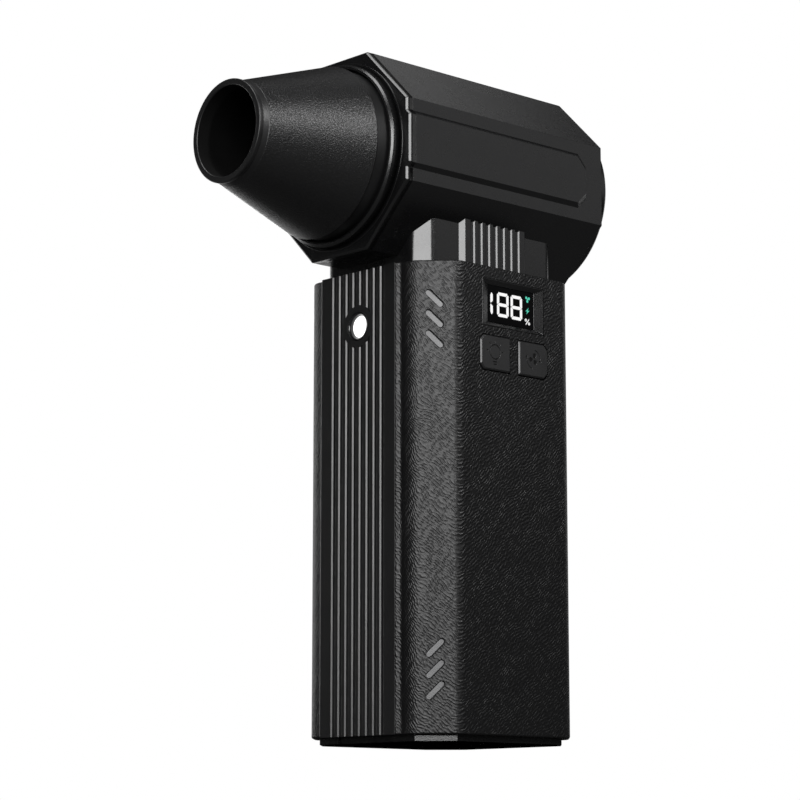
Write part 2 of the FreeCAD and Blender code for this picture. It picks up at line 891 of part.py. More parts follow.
def make_button(label, side):
    body = new_body(label)
    inner_wall = core_side - size.button_stop_gap
    flange = sketch_on(body, "YZ", inner_wall - size.button_flange_thickness)
    polygon(flange, button_outline(side, size.button_gap + size.button_flange))
    pad(body, flange, size.button_flange_thickness)
    cap = polygon(sketch_on(body, "YZ", inner_wall), button_outline(side))
    pad(body, cap, half_width + size.button_proud - inner_wall)
    face = half_width + size.button_proud

    def on_face(edge, middle):
        return near(edge.Vertexes[0].X, face) and near(edge.Vertexes[-1].X, face)
    dress(body, "Chamfer", "Size", size.button_bevel, on_face)


def make_button_board():
    board = new_body("button_board")
    panel = sketch_on(board, "YZ", board_front - size.board_thickness)
    rectangle(panel, as_size(0), button_board_z, size.button_board_width, size.button_board_height)
    for y, z in button_board_corners():
        circle(panel, y, z, size.small_screw_radius + size.screw_gap)
    pad(board, panel, size.board_thickness)
    flange_rear = core_side - size.button_stop_gap - size.button_flange_thickness
    stem_tip = flange_rear - size.button_travel - size.switch_gap
    body_top = stem_tip - size.switch_stem
    half = size.switch_side / 2
    switches = []
    for side in (-1, 1):
        y = side * size.button_spacing / 2
        case = block(board_front, body_top, y - half, y + half, button_z - half, button_z + half)
        stem = rod(size.switch_stem_radius, stem_tip - board_front, board_front, y, button_z, ALONG_X)
        switches.append(fuse(case, stem))
    group("tact_switches", switches)
    screws = []
    rear = board_front - size.board_thickness
    for y, z in button_board_corners():
        head = rod(size.small_head_radius, size.small_head_height, rear - size.small_head_height, y, z, ALONG_X)
        shank = rod(size.small_screw_radius, size.small_screw_length, rear, y, z, ALONG_X)
        screws.append(fuse(head, shank))
    group("button_board_screws", screws)


# Top cap, neck and head

def make_top_cap():
    body = new_body("top_cap")
    pad(body, polygon(sketch_on(body, "XY", core_top), handle_outline(core_inset)), size.cap_thickness)
    lip = sketch_on(body, "XY", core_top - size.lip_depth)
    polygon(lip, handle_outline(cavity_inset + size.lip_gap))
    pad(body, lip, size.lip_depth)
    well = sketch_on(body, "XY", handle_top)
    rectangle(well, as_size(0), as_size(0), size.wire_hole_width, size.wire_hole_depth)
    for x, y in four_corners(size.neck_screw_x, neck_screw_line):
        circle(well, x, y, size.screw_radius + size.screw_gap)
    pocket(body, well, size.cap_thickness + size.lip_depth)


def head_outline(inset=0, panels=False):
    """Octagon of the head in the XZ plane, if asked with its two raised side panels."""
    inset = as_size(inset)
    reach = head_radius - inset
    flat = reach * math.tan(math.pi / 8)
    proud = size.side_panel_proud
    step = size.side_panel_height / 2
    right = [(reach, -flat), (reach, flat)]
    if panels:
        right = [(reach, -flat), (reach, -step - proud), (reach + proud, -step), (reach + proud, step),
                 (reach, step + proud), (reach, flat)]
    left = [(-x, -z) for x, z in right]
    points = right + [(flat, reach), (-flat, reach)] + left + [(-flat, -reach), (flat, -reach)]
    return [(x, axis_z + z) for x, z in points]


def make_neck_collar():
    body = new_body("neck_collar")
    rise = axis_z - head_half_flat - handle_top
    foot = sketch_on(body, "XY", handle_top)
    pad(body, rectangle(foot, as_size(0), as_size(0), size.neck_width, 2 * neck_end), rise)

    def on_corner(edge, middle):
        return near(abs(middle.x), size.neck_width / 2) and near(abs(middle.y), neck_end)
    dress(body, "Fillet", "Radius", size.neck_corner, on_corner)
    side = size.neck_width / 2
    proud = size.rib_block_proud
    foot = size.rib_block_width / 2
    blocks = sketch_on(body, "XY", handle_top)
    for sign in (-1, 1):
        polygon(blocks, [(sign * (side - proud), -foot - proud), (sign * side, -foot),
                         (sign * (side + proud), proud - foot), (sign * (side + proud), foot - proud),
                         (sign * side, foot), (sign * (side - proud), foot + proud)])
    pad(body, blocks, rise)
    groove = sketch_on(body, "XY", handle_top + rise)
    centre = -(size.rib_count - 1) / 2 * size.rib_pitch
    half_floor, depth = size.rib_floor / 2, size.groove_depth
    face = side + proud
    for sign in (-1, 1):
        polygon(groove, [(sign * face, centre - half_floor - depth), (sign * (face - depth), centre - half_floor),
                         (sign * (face - depth), centre + half_floor), (sign * face, centre + half_floor + depth)])
    cut = pocket(body, groove, rise)
    in_line(body, [cut], "Y", size.rib_count, size.rib_pitch)
    saddle = polygon(sketch_on(body, "XZ", neck_end + proud), head_outline())
    pocket(body, saddle, 2 * (neck_end + proud))
    cavity = sketch_on(body, "XY", handle_top + rise)
    rectangle(cavity, as_size(0), as_size(0), size.neck_cavity_width, 2 * neck_cavity_end)
    for x, y in four_corners(size.neck_screw_x, neck_screw_line):
        circle(cavity, x, y, size.screw_radius + size.screw_gap)
    pocket(body, cavity, rise)


def make_head_housing():
    body = new_body("head_housing")
    length = head_rear - head_front
    shell = polygon(sketch_on(body, "XZ", -head_rear), head_outline())
    pad(body, shell, length)
    raised = make_side_panel(body)
    mirror(body, [raised])
    hollow = polygon(sketch_on(body, "XZ", -head_front), head_outline(size.head_wall))
    pocket(body, hollow, length)
    floor_top = head_bottom + size.head_wall
    bosses = sketch_on(body, "XY", head_bottom + size.head_wall / 2)
    for x, y in four_corners(size.neck_screw_x, neck_screw_line):
        circle(bosses, x, y, size.head_boss_radius)
    pad(body, bosses, size.head_wall / 2 + size.head_boss_height)
    well = sketch_on(body, "XY", floor_top + size.head_boss_height)
    rectangle(well, as_size(0), as_size(0), size.wire_hole_width, size.wire_hole_depth)
    for x, y in four_corners(size.neck_screw_x, neck_screw_line):
        circle(well, x, y, size.screw_radius + size.thread_gap)
    pocket(body, well, size.head_wall + size.head_boss_height)


def make_side_panel(body):
    """Raised panel on the right-hand flat, with sloped edges and two cut rear corners."""
    proud = size.side_panel_proud
    corner = size.side_panel_corner
    rear = head_rear - size.side_panel_stop
    outlines = []
    for lift, grow in ((0, proud), (proud, 0)):
        step = size.side_panel_height / 2 + grow
        back = rear + grow
        sketch = sketch_on(body, "YZ", head_radius + lift)
        low, high = axis_z - step, axis_z + step
        polygon(sketch, [(head_front, low), (back - corner, low), (back, low + corner),
                         (back, high - corner), (back - corner, high), (head_front, high)])
        outlines.append(sketch)
    loft = add(body, "AdditiveLoft", outlines[0])
    loft.Sections = [outlines[1]]
    loft.Ruled = True
    return loft


def make_front_bezel():
    body = new_body("front_bezel")
    pad(body, polygon(sketch_on(body, "XZ", -head_front), head_outline(panels=True)), size.bezel_thickness)
    front = -size.head_reach

    def on_front(edge, middle):
        return near(edge.Vertexes[0].Y, front) and near(edge.Vertexes[-1].Y, front)
    dress(body, "Chamfer", "Size", size.bezel_bevel, on_front)
    pad(body, circle(sketch_on(body, "XZ", size.head_reach), 0, axis_z, size.collar_radius), size.collar_length)

    def on_rim(edge, middle):
        return near(middle.y, -collar_front)
    dress(body, "Fillet", "Radius", size.collar_round, on_rim)
    bore = size.spigot_radius + size.spigot_gap
    mouth = size.collar_mouth_radius
    mouth_floor = size.collar_mouth_depth - collar_front
    lip = head_front - size.spigot_stop
    past = size.collar_length
    stepped = sketch_on(body, "YZ")
    points = [(-collar_front - past, 0), (-collar_front - past, mouth), (mouth_floor, mouth), (mouth_floor, bore),
              (lip, bore), (lip, bore - size.stop_lip), (head_front + past, bore - size.stop_lip),
              (head_front + past, 0)]
    polygon(stepped, points)
    bind(stepped, "AttachmentOffset.Base.y", axis_z)
    turn(body, stepped, "Groove")


def make_nozzle():
    lip_face = head_front - size.spigot_stop
    rear = lip_face - size.spigot_gap
    shoulder = size.collar_mouth_depth - collar_front - size.shoulder_gap
    tip = -size.nozzle_reach
    lip_rear = tip + size.lip_length
    step = size.cone_step
    cone_front = lip_rear + size.tip_band + step
    cone_rear = -collar_front - size.base_band
    tip_band_radius = size.cone_tip_radius - step
    base_band_radius = size.cone_base_radius - step
    land_end = tip + size.outlet_land
    wall = size.nozzle_wall
    body = new_body("nozzle")
    # a short smooth band leads into the matte cone at each end
    turn(body, polygon(sketch_on(body, "YZ"), [
        (rear, size.spigot_radius), (shoulder, size.spigot_radius), (shoulder, base_band_radius),
        (cone_rear + step, base_band_radius), (cone_rear, size.cone_base_radius),
        (cone_front, size.cone_tip_radius), (cone_front - step, tip_band_radius), (lip_rear, tip_band_radius),
        (lip_rear, size.lip_radius), (tip, size.lip_radius), (tip, size.outlet_radius),
        (land_end, size.outlet_radius), (cone_rear, base_band_radius - wall), (rear, size.spigot_radius - wall)]))

    def on_lip(edge, middle):
        radius = math.hypot(middle.x, middle.z)
        return near(radius, size.lip_radius) and (near(middle.y, tip) or near(middle.y, lip_rear))
    dress(body, "Fillet", "Radius", size.lip_round, on_lip)
    seat = size.seal_radius
    seal_y = (rear + shoulder) / 2
    sketch = sketch_on(body, "YZ")
    polygon(sketch, [(seal_y - seat, size.spigot_radius - seat), (seal_y + seat, size.spigot_radius - seat),
                     (seal_y + seat, size.cone_base_radius), (seal_y - seat, size.cone_base_radius)])
    turn(body, sketch, "Groove")
    place(body, z=axis_z)
    seal = new_body("nozzle_seal")
    ring = size.seal_radius + size.spigot_gap / 2
    section = sketch_on(seal, "YZ")
    polygon(section, [(seal_y - seat, size.spigot_radius - seat), (seal_y + seat, size.spigot_radius - seat),
                      (seal_y + seat / 2, size.spigot_radius - seat + ring),
                      (seal_y - seat / 2, size.spigot_radius - seat + ring)])
    turn(seal, section)
    place(seal, z=axis_z)


# Rear cap and intake grille

def make_rear_cap():
    body = new_body("rear_cap")
    back = head_rear + size.cap_length
    seat = back - size.grille_sink - size.grille_thickness
    spigot = head_radius - size.head_wall - size.cap_spigot_gap
    recess = size.grille_radius + size.grille_gap
    turn(body, polygon(sketch_on(body, "YZ"), [
        (duct_rear, size.duct_bore_radius), (duct_rear, spigot), (head_rear, spigot), (head_rear, size.cap_radius),
        (back, size.cap_radius), (back, recess + size.grille_sink / 2), (back - size.grille_sink / 2, recess),
        (seat, recess), (seat, size.duct_bore_radius - size.grille_bar)]))

    def on_back(edge, middle):
        return near(middle.y, back) and near(math.hypot(middle.x, middle.z), size.cap_radius)
    dress(body, "Fillet", "Radius", size.cap_round, on_back)
    place(body, z=axis_z)


def make_intake_grille():
    """Flat grille: rings of arc-shaped openings between radial bars."""
    body = new_body("intake_grille")
    back = head_rear + size.cap_length - size.grille_sink
    disc = circle(sketch_on(body, "XZ", -back), 0, 0, size.grille_radius)
    pad(body, disc, size.grille_thickness)
    rings = int(size.grille_rings.value)
    hub = size.grille_hub_radius
    rim = size.duct_bore_radius - size.grille_bar
    step = (rim - hub + size.grille_bar) / rings
    half_turn = 180.0 / size.grille_spokes
    openings = sketch_on(body, "XZ", -back)
    for ring in range(rings):
        low = hub + ring * step
        high = low + step - size.grille_bar
        arc_opening(openings, low, high, half_turn, size.grille_bar / 2)
    cut = pocket(body, openings, size.grille_thickness, backwards=True)
    around(body, [cut], "Y", size.grille_spokes)
    place(body, z=axis_z)


def arc_opening(sketch, low, high, half_turn, half_bar):
    """Opening between two radii whose straight sides lie half a bar inside the sector's edges."""
    corners = []
    for radius, side in ((low, -1), (low, 1), (high, 1), (high, -1)):
        along = root(radius * radius - half_bar * half_bar)
        # the side edge is parallel to the bar's centre line, which lies at half_turn from the x axis
        x = along * cosine(half_turn) + half_bar * sine(half_turn)
        y = side * (along * sine(half_turn) - half_bar * cosine(half_turn))
        corners.append((x, y))
    spots = [Vector(x.value, y.value, 0) for x, y in corners]
    first = sketch.GeometryCount
    sketch.addGeometry([
        Part.Arc(spots[0], Vector(low.value, 0, 0), spots[1]),
        Part.LineSegment(spots[1], spots[2]),
        Part.Arc(spots[3], Vector(high.value, 0, 0), spots[2]),
        Part.LineSegment(spots[3], spots[0]),
    ], False)
    inner, right, outer, left = range(first, first + 4)
    sketch.addConstraint([
        Sketcher.Constraint("Coincident", inner, 2, right, 1),
        Sketcher.Constraint("Coincident", right, 2, outer, 2),
        Sketcher.Constraint("Coincident", outer, 1, left, 1),
        Sketcher.Constraint("Coincident", left, 2, inner, 1),
    ])
    hold_point(sketch, inner, 1, *corners[0])
    hold_point(sketch, inner, 2, *corners[1])
    hold_point(sketch, outer, 2, *corners[2])
    hold_point(sketch, outer, 1, *corners[3])
    hold_radius(sketch, inner, low)
    hold_radius(sketch, outer, high)


# Air path: duct, stator and tail cone

def make_fan_duct():
    body = new_body("fan_duct")
    outer = size.duct_bore_radius + size.duct_wall
    tube = sketch_on(body, "XZ", -duct_rear)
    circle(tube, 0, 0, outer)
    circle(tube, 0, 0, size.duct_bore_radius)
    pad(body, tube, duct_rear - head_front)
    lead_hole(body)
    place(body, z=axis_z)


def lead_hole(body):
    """Hole in the underside through which the motor leads leave the duct."""
    hole = stadium(sketch_on(body, "XY", -size.duct_bore_radius - 2 * size.duct_wall), 0, size.lead_place,
                   2 * size.lead_pitch + 4 * size.lead_radius, 2 * size.lead_radius)
    pocket(body, hole, size.duct_bore_radius, backwards=True)


def make_stator_vanes():
    body = new_body("stator_vanes")
    ring_outer = size.duct_bore_radius
    ring_inner = ring_outer - size.vane_ring_wall
    hub_inner = size.hub_radius - size.hub_wall
    rim = sketch_on(body, "XZ", -size.hub_rear)
    circle(rim, 0, 0, ring_outer)
    circle(rim, 0, 0, ring_inner)
    pad(body, rim, size.hub_rear + size.hub_front)
    section = sketch_on(body, "XY", size.hub_radius - size.hub_wall / 2)
    blade_section(section, size.vane_centre, size.vane_chord, size.vane_angle, size.vane_camber, size.vane_thickness)
    vane = pad(body, section, ring_inner + size.vane_ring_wall / 2 - size.hub_radius + size.hub_wall / 2)
    around(body, [vane], "Y", size.vane_count)
    hub = sketch_on(body, "XZ", -size.hub_rear)
    circle(hub, 0, 0, size.hub_radius)
    circle(hub, 0, 0, hub_inner)
    pad(body, hub, size.hub_rear + size.hub_front)
    lead_hole(body)
    place(body, z=axis_z)


def make_tail_cone():
    body = new_body("tail_cone")
    base, tip = -size.hub_front, -size.hub_front - size.tail_length
    radius = size.hub_radius
    wall = size.hub_wall
    inner = radius - wall
    turn(body, polygon(sketch_on(body, "YZ"), [
        (base, radius), (base - size.tail_length / 3, radius * 0.93), (tip + size.tail_length / 4, radius * 0.62),
        (tip, radius * 0.28), (tip, 0), (tip + wall, 0), (tip + size.tail_length / 4 + wall, radius * 0.62 - wall),
        (base - size.tail_length / 3, radius * 0.93 - wall), (base, inner)]))
    place(body, z=axis_z)


# Motor and impeller

def make_motor():
    tube_inner = size.bearing_radius
    tube_outer = tube_inner + size.bearing_tube_wall
    magnet_outer = size.bell_radius - size.bell_wall
    magnet_inner = magnet_outer - size.magnet_thickness
    stack_radius = magnet_inner - size.air_gap
    plate_front = -size.bell_front - size.mount_thickness - size.air_gap
    plate_rear = plate_front + size.mount_thickness
    bell_floor = size.bell_rear - size.bell_wall
    tube_end = bell_floor - size.winding_margin
    middle = (bell_floor - size.bell_front) / 2

    mount = new_body("motor_mount")
    hub_inner = size.hub_radius - size.hub_wall
    turn(mount, polygon(sketch_on(mount, "YZ"), [
        (plate_front, tube_inner), (plate_front, hub_inner), (plate_rear, hub_inner), (plate_rear, tube_outer),
        (tube_end, tube_outer), (tube_end, tube_inner)]))
    place(mount, z=axis_z)

    stack = new_body("motor_stator")
    stack_rear = middle + size.stack_length / 2
    rings = sketch_on(stack, "XZ", -stack_rear)
    circle(rings, 0, 0, size.yoke_radius)
    circle(rings, 0, 0, tube_outer)
    pad(stack, rings, size.stack_length)
    tooth = sketch_on(stack, "XZ", -stack_rear)
    neck, shoe = size.tooth_width / 2, size.tooth_width * 1.2
    root_radius = (size.yoke_radius + tube_outer) / 2
    flare = stack_radius - size.tooth_tip
    polygon(tooth, [(-neck, root_radius), (neck, root_radius), (neck, flare), (shoe, stack_radius - size.tooth_tip / 2),
                    (shoe / 2, stack_radius), (-shoe / 2, stack_radius),
                    (-shoe, stack_radius - size.tooth_tip / 2), (-neck, flare)])
    around(stack, [pad(stack, tooth, size.stack_length)], "Y", size.tooth_count)
    place(stack, z=axis_z)

    coils = new_body("motor_windings")
    coil_rear = stack_rear + size.winding_margin
    for y in (coil_rear, middle - size.stack_length / 2):
        hank = sketch_on(coils, "XZ", -y)
        circle(hank, 0, 0, flare)
        circle(hank, 0, 0, tube_outer + size.shaft_gap)
        pad(coils, hank, size.winding_margin)
    coil = sketch_on(coils, "XZ", -coil_rear)
    wrap = neck + (flare - size.yoke_radius) * 0.28
    for side in (-1, 1):
        polygon(coil, [(side * neck, size.yoke_radius), (side * wrap, size.yoke_radius), (side * wrap, flare),
                       (side * neck, flare)])
    around(coils, [pad(coils, coil, size.stack_length + 2 * size.winding_margin)], "Y", size.tooth_count)
    place(coils, z=axis_z)

    bearings = []
    for y in (plate_front, tube_end - size.bearing_length):
        outer = rod(size.bearing_radius, size.bearing_length, 0, y, axis_z, ALONG_Y)
        inner = rod(size.shaft_radius + size.shaft_gap, size.bearing_length, 0, y, axis_z, ALONG_Y)
        ring = doc.addObject("Part::Cut", "Bearing")
        ring.Base = outer
        ring.Tool = inner
        bearings.append(ring)
    group("motor_bearings", bearings)

    bell = new_body("motor_bell")
    turn(bell, polygon(sketch_on(bell, "YZ"), [
        (-size.bell_front, magnet_outer), (-size.bell_front, size.bell_radius), (size.bell_rear, size.bell_radius),
        (size.bell_rear, size.shaft_radius), (bell_floor, size.shaft_radius), (bell_floor, magnet_outer)]))
    place(bell, z=axis_z)

    magnets = new_body("rotor_magnets")
    magnet_rear = middle + size.magnet_length / 2
    ring = sketch_on(magnets, "XZ", -magnet_rear)
    circle(ring, 0, 0, magnet_outer)
    circle(ring, 0, 0, magnet_inner)
    pad(magnets, ring, size.magnet_length)
    place(magnets, z=axis_z)

    shaft_length = size.impeller_nose + size.nut_length / 2 + size.shaft_front
    part(rod(size.shaft_radius, shaft_length, 0, -size.shaft_front, axis_z, ALONG_Y), "motor_shaft")
    clip = new_body("shaft_clip")
    clip_rear = plate_front - size.air_gap
    turn(clip, polygon(sketch_on(clip, "YZ"), [
        (clip_rear, size.shaft_radius), (clip_rear, size.clip_radius),
        (clip_rear - size.clip_thickness, size.clip_radius), (clip_rear - size.clip_thickness, size.shaft_radius)]))
    place(clip, z=axis_z)


def make_impeller():
    body = new_body("impeller")
    front = size.hub_rear + size.impeller_gap
    nose = size.impeller_nose
    bore = size.shaft_radius
    turn(body, polygon(sketch_on(body, "YZ"), [
        (size.bell_rear, bore), (size.bell_rear, size.hub_bore_boss), (front, size.hub_bore_boss),
        (front, size.hub_radius), ((front + nose) / 2, size.hub_radius * 0.94),
        (nose - size.nose_radius / 3, (size.hub_radius + size.nose_radius) / 2),
        (nose, size.nose_radius), (nose, bore)]))
    tip_radius = size.duct_bore_radius - size.blade_tip_gap
    tip_half = size.blade_tip_chord / 2 * cosine(size.blade_tip_angle) + size.blade_thickness
    tip_plane = root(tip_radius * tip_radius - tip_half * tip_half)
    root_plane = size.nose_radius
    stations = []
    for share in (0.0, 0.5, 1.0):
        radius = root_plane + share * (tip_plane - root_plane)
        chord = size.blade_root_chord + share * (size.blade_tip_chord - size.blade_root_chord)
        angle = size.blade_root_angle + share * (size.blade_tip_angle - size.blade_root_angle)
        sketch = sketch_on(body, "XY", radius)
        blade_section(sketch, size.blade_centre, chord, angle, size.blade_camber, size.blade_thickness)
        stations.append(sketch)
    blade = add(body, "AdditiveLoft", stations[0])
    blade.Sections = stations[1:]
    around(body, [blade], "Y", size.blade_count)
    place(body, z=axis_z)

    nut = new_body("impeller_nut")
    turn(nut, polygon(sketch_on(nut, "YZ"), [
        (nose, bore), (nose, size.nut_radius), (nose + size.nut_length * 0.7, size.nut_radius * 0.85),
        (nose + size.nut_length, size.nut_radius * 0.4), (nose + size.nut_length, 0),
        (nose + size.nut_length / 2, 0), (nose + size.nut_length / 2, bore)]))
    place(nut, z=axis_z)


# Battery pack

def make_cells():
    reach = size.cell_spacing / 2
    number = 0
    for x, y in four_corners(reach, reach):
        number += 1
        cell = new_body(f"battery_cell_{number}")
        shoulder = size.cell_length - size.cell_button_height
        profile = polygon(sketch_on(cell, "XZ"), [
            (0, 0), (size.cell_radius, 0), (size.cell_radius, shoulder), (size.cell_button_radius, shoulder),
            (size.cell_button_radius, size.cell_length), (0, size.cell_length)])
        can = add(cell, "Revolution", profile)
        can.ReferenceAxis = (profile, ["V_Axis"])
        can.Angle = 360
        # neighbours stand opposite ways up, as cells in series do
        if number in (2, 3):
            place(cell, x, y, cell_top, Rotation(Vector(1, 0, 0), 180))
        else:
            place(cell, x, y, cell_bottom)


def cell_holder(label, z, rotation=None, posts=False):
    """Tray with a socket for each cell and grooves for the strips, open towards +Z."""
    body = new_body(label)
    inset = cavity_inset + size.holder_gap
    width, depth = size.handle_width - 2 * inset, size.handle_depth - 2 * inset
    outline = polygon(sketch_on(body, "XY"), chamfered(width, depth, size.holder_corner))
    pad(body, outline, size.holder_floor + size.holder_grip)
    reach = size.cell_spacing / 2
    sockets = sketch_on(body, "XY", size.holder_floor)
    strips = sketch_on(body, "XY", size.holder_floor - size.strip_thickness)
    for x, y in four_corners(reach, reach):
        circle(sockets, x, y, size.cell_radius + size.cell_gap)
    for side in (-1, 1):
        rectangle(strips, side * reach, as_size(0), size.strip_width, size.cell_spacing + size.strip_width)
    pocket(body, sockets, size.holder_grip, backwards=True)
    pocket(body, strips, size.strip_thickness, backwards=True)
    if posts:
        stand = sketch_on(body, "XY")
        threads = sketch_on(body, "XY", -size.board_post_height)
        for x, y in four_corners(size.main_board_screw, size.main_board_screw):
            circle(stand, x, y, size.board_post_radius)
            circle(threads, x, y, size.small_screw_radius + size.thread_gap)
        pad(body, stand, size.board_post_height, backwards=True)
        pocket(body, threads, size.small_screw_length, backwards=True)
    place(body, z=z, rotation=rotation)


def cell_strips(label, z):
    reach = size.cell_spacing / 2
    half, along = size.strip_width / 2, (size.cell_spacing + size.strip_width) / 2
    strips = [block(side * reach - half, side * reach + half, -along, along, z, z + size.strip_thickness)
              for side in (-1, 1)]
    group(label, strips)


def make_battery():
    make_cells()
    cell_holder("lower_cell_holder", plug_top)
    cell_holder("upper_cell_holder", holder_top, Rotation(Vector(1, 0, 0), 180), posts=True)
    cell_strips("lower_cell_strips", cell_bottom - size.strip_thickness)
    cell_strips("upper_cell_strips", cell_top)


# Main board, charging port and leads

def make_main_board():
    board = new_body("main_board")
    inset = cavity_inset + size.main_board_inset
    width, depth = size.handle_width - 2 * inset, size.handle_depth - 2 * inset
    panel = polygon(sketch_on(board, "XY", main_board_bottom), chamfered(width, depth, size.holder_corner))
    for x, y in four_corners(size.main_board_screw, size.main_board_screw):
        circle(panel, x, y, size.small_screw_radius + size.screw_gap)
    pad(board, panel, size.board_thickness)
    screws = []
    for x, y in four_corners(size.main_board_screw, size.main_board_screw):
        head = rod(size.small_head_radius, size.small_head_height, x, y, main_board_top)
        shank = rod(size.small_screw_radius, size.small_screw_length, x, y, main_board_top - size.small_screw_length)
        screws.append(fuse(head, shank))
    group("main_board_screws", screws)
    transistors = []
    half, long = size.transistor_width / 2, size.transistor_length / 2
    for column in (-1, 0, 1):
        for line in (-1, 1):
            x = column * size.transistor_pitch
            y = line * size.transistor_pitch / 2 - (depth / 2 - size.transistor_inset)
            transistors.append(block(x - half, x + half, y - long, y + long,
                                     main_board_top, main_board_top + size.transistor_height))
    group("power_transistors", transistors)
    chip = size.chip_side / 2
    chip_front = size.lead_place + size.chip_side
    part(block(-chip, chip, chip_front, chip_front + size.chip_side,
               main_board_top, main_board_top + size.chip_height), "controller_chip")
    part(rod(size.capacitor_radius, size.capacitor_length, size.capacitor_inset - width / 2, 0, main_board_top),
         "smoothing_capacitor")


def make_charge_port():
    shell = new_body("charge_port")
    mouth = half_depth - size.port_sink
    outer = stadium(sketch_on(shell, "XZ", -mouth), 0, port_z, size.port_width, size.port_height / 2)
    pad(shell, outer, size.port_length)
    inner_width = size.port_width - 2 * size.port_wall
    inner_radius = size.port_height / 2 - size.port_wall
    hollow = stadium(sketch_on(shell, "XZ", -mouth), 0, port_z, inner_width, inner_radius)
    pocket(shell, hollow, size.port_length - 2 * size.port_wall, backwards=True)
    tongue = sketch_on(shell, "XZ", size.port_length - mouth - size.port_wall)
    rectangle(tongue, as_size(0), port_z, size.tongue_width, size.tongue_height)
    pad(shell, tongue, size.port_length - 2 * size.port_wall - size.port_sink, backwards=True)

    bezel = new_body("port_bezel")
    face = half_depth + size.port_flange_thickness
    flange = sketch_on(bezel, "XZ", -face)
    grow = size.port_flange
    stadium(flange, 0, port_z, size.port_bezel_width + 2 * grow, size.port_bezel_height / 2 + grow)
    pad(bezel, flange, size.port_flange_thickness)
    sleeve = sketch_on(bezel, "XZ", -half_depth)
    stadium(sleeve, 0, port_z, size.port_bezel_width, size.port_bezel_height / 2)
    pad(bezel, sleeve, cavity_inset)
    mouth = sketch_on(bezel, "XZ", -face)
    stadium(mouth, 0, port_z, size.port_width + 2 * size.port_gap, size.port_height / 2 + size.port_gap)
    pocket(bezel, mouth, face - core_front, backwards=True)


def make_leads():
    top = axis_z - size.hub_radius
    leads = [rod(size.lead_radius, top - main_board_top, column * size.lead_pitch, size.lead_place, main_board_top)
             for column in (-1, 0, 1)]
    group("motor_leads", leads)


def make_screws():
    under = size.base_height - size.screw_head_height
    screws = []
    for x, y in four_corners(screw_x, screw_y):
        head = rod(size.screw_head_radius, size.screw_head_height, x, y, under)
        shank = rod(size.screw_radius, size.base_screw_length, x, y, size.base_height)
        screws.append(fuse(head, shank))
    group("base_screws", screws)
    screws = []
    seat = core_top - size.lip_depth
    length = head_bottom + size.head_wall + size.head_boss_height - seat
    for x, y in four_corners(size.neck_screw_x, neck_screw_line):
        head = rod(size.screw_head_radius, size.screw_head_height, x, y, seat - size.screw_head_height)
        shank = rod(size.screw_radius, length, x, y, seat)
        screws.append(fuse(head, shank))
    group("neck_screws", screws)


make_base_cover()
make_handle_core()
make_leather_wrap()
make_front_panel()
make_lamp()
make_display()
make_button("light_button", -1)
make_button("fan_button", 1)
make_button_board()
make_top_cap()
make_neck_collar()
make_head_housing()
make_front_bezel()
make_nozzle()
make_rear_cap()
make_intake_grille()
make_fan_duct()
make_stator_vanes()
make_tail_cone()
make_motor()
make_impeller()
make_battery()
make_main_board()
make_charge_port()
make_leads()
make_screws()

doc.recompute()

faults = [f"{thing.Name} ({thing.Label}): {thing.State}" for thing in doc.Objects
          if "Invalid" in thing.State or "Error" in thing.State]
for thing in parts:
    if thing.Shape.isNull() or not thing.Shape.isValid() or not thing.Shape.Solids:
        faults.append(f"{thing.Label}: no valid solid")
if faults:
    raise RuntimeError("failed objects: " + "; ".join(faults))

os.makedirs("parts", exist_ok=True)
for thing in parts:
    thing.Shape.exportStep(os.path.join("parts", thing.Label + ".step"))
    print(thing.Label, len(thing.Shape.Solids), round(thing.Shape.Volume, 2))
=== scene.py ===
"""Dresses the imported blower: camera, light, materials and the pieces that the solids leave plain.

The part's frame is in metres: +Z up, the nozzle to -Y, the display and buttons to +X. Sizes of the blower
are in millimetres here, and sizes of the studio in metres.
"""

import json
import math

import bmesh
import bpy
from mathutils import Matrix, Vector


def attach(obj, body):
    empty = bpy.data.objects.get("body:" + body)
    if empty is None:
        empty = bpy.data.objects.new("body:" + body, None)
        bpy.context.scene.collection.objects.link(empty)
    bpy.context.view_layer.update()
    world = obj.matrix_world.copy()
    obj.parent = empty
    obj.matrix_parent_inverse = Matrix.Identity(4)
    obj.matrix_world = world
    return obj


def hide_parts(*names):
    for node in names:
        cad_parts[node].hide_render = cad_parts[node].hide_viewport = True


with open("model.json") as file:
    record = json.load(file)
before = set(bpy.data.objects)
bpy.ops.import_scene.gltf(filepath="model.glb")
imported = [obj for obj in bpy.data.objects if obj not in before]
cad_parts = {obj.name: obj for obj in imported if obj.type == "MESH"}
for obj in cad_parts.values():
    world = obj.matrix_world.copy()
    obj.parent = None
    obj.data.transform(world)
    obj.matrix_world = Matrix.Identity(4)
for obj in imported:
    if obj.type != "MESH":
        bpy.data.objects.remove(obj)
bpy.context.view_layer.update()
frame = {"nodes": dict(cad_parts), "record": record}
nodes = frame["nodes"]
scene = bpy.context.scene
MM = 0.001

# Sizes and places that several pieces share

AXIS_Z = 157.15
LEATHER_X, LEATHER_Y = 28.8, 29.5
LEATHER_LOW, LEATHER_HIGH = 1.7, 126.7
DISPLAY_Z = 116.8
DISPLAY_HALF, DISPLAY_LOW, DISPLAY_HIGH = 11.75, 110.25, 123.35
BUTTON_Y, BUTTON_HALF = 7.2, 5.55
BUTTON_LOW, BUTTON_HIGH = 98.3, 107.7
BUTTON_CUT, BUTTON_GAP = 1.4, 0.3
LAMP_Z = 111.5

# Camera: fitted to the outline of the object in the photograph

CAMERA_PLACE = (496.785, -472.871, -25.386)
CAMERA_TURN = 47.34
CAMERA_PITCH = 9.951
CAMERA_LENS = 113.1


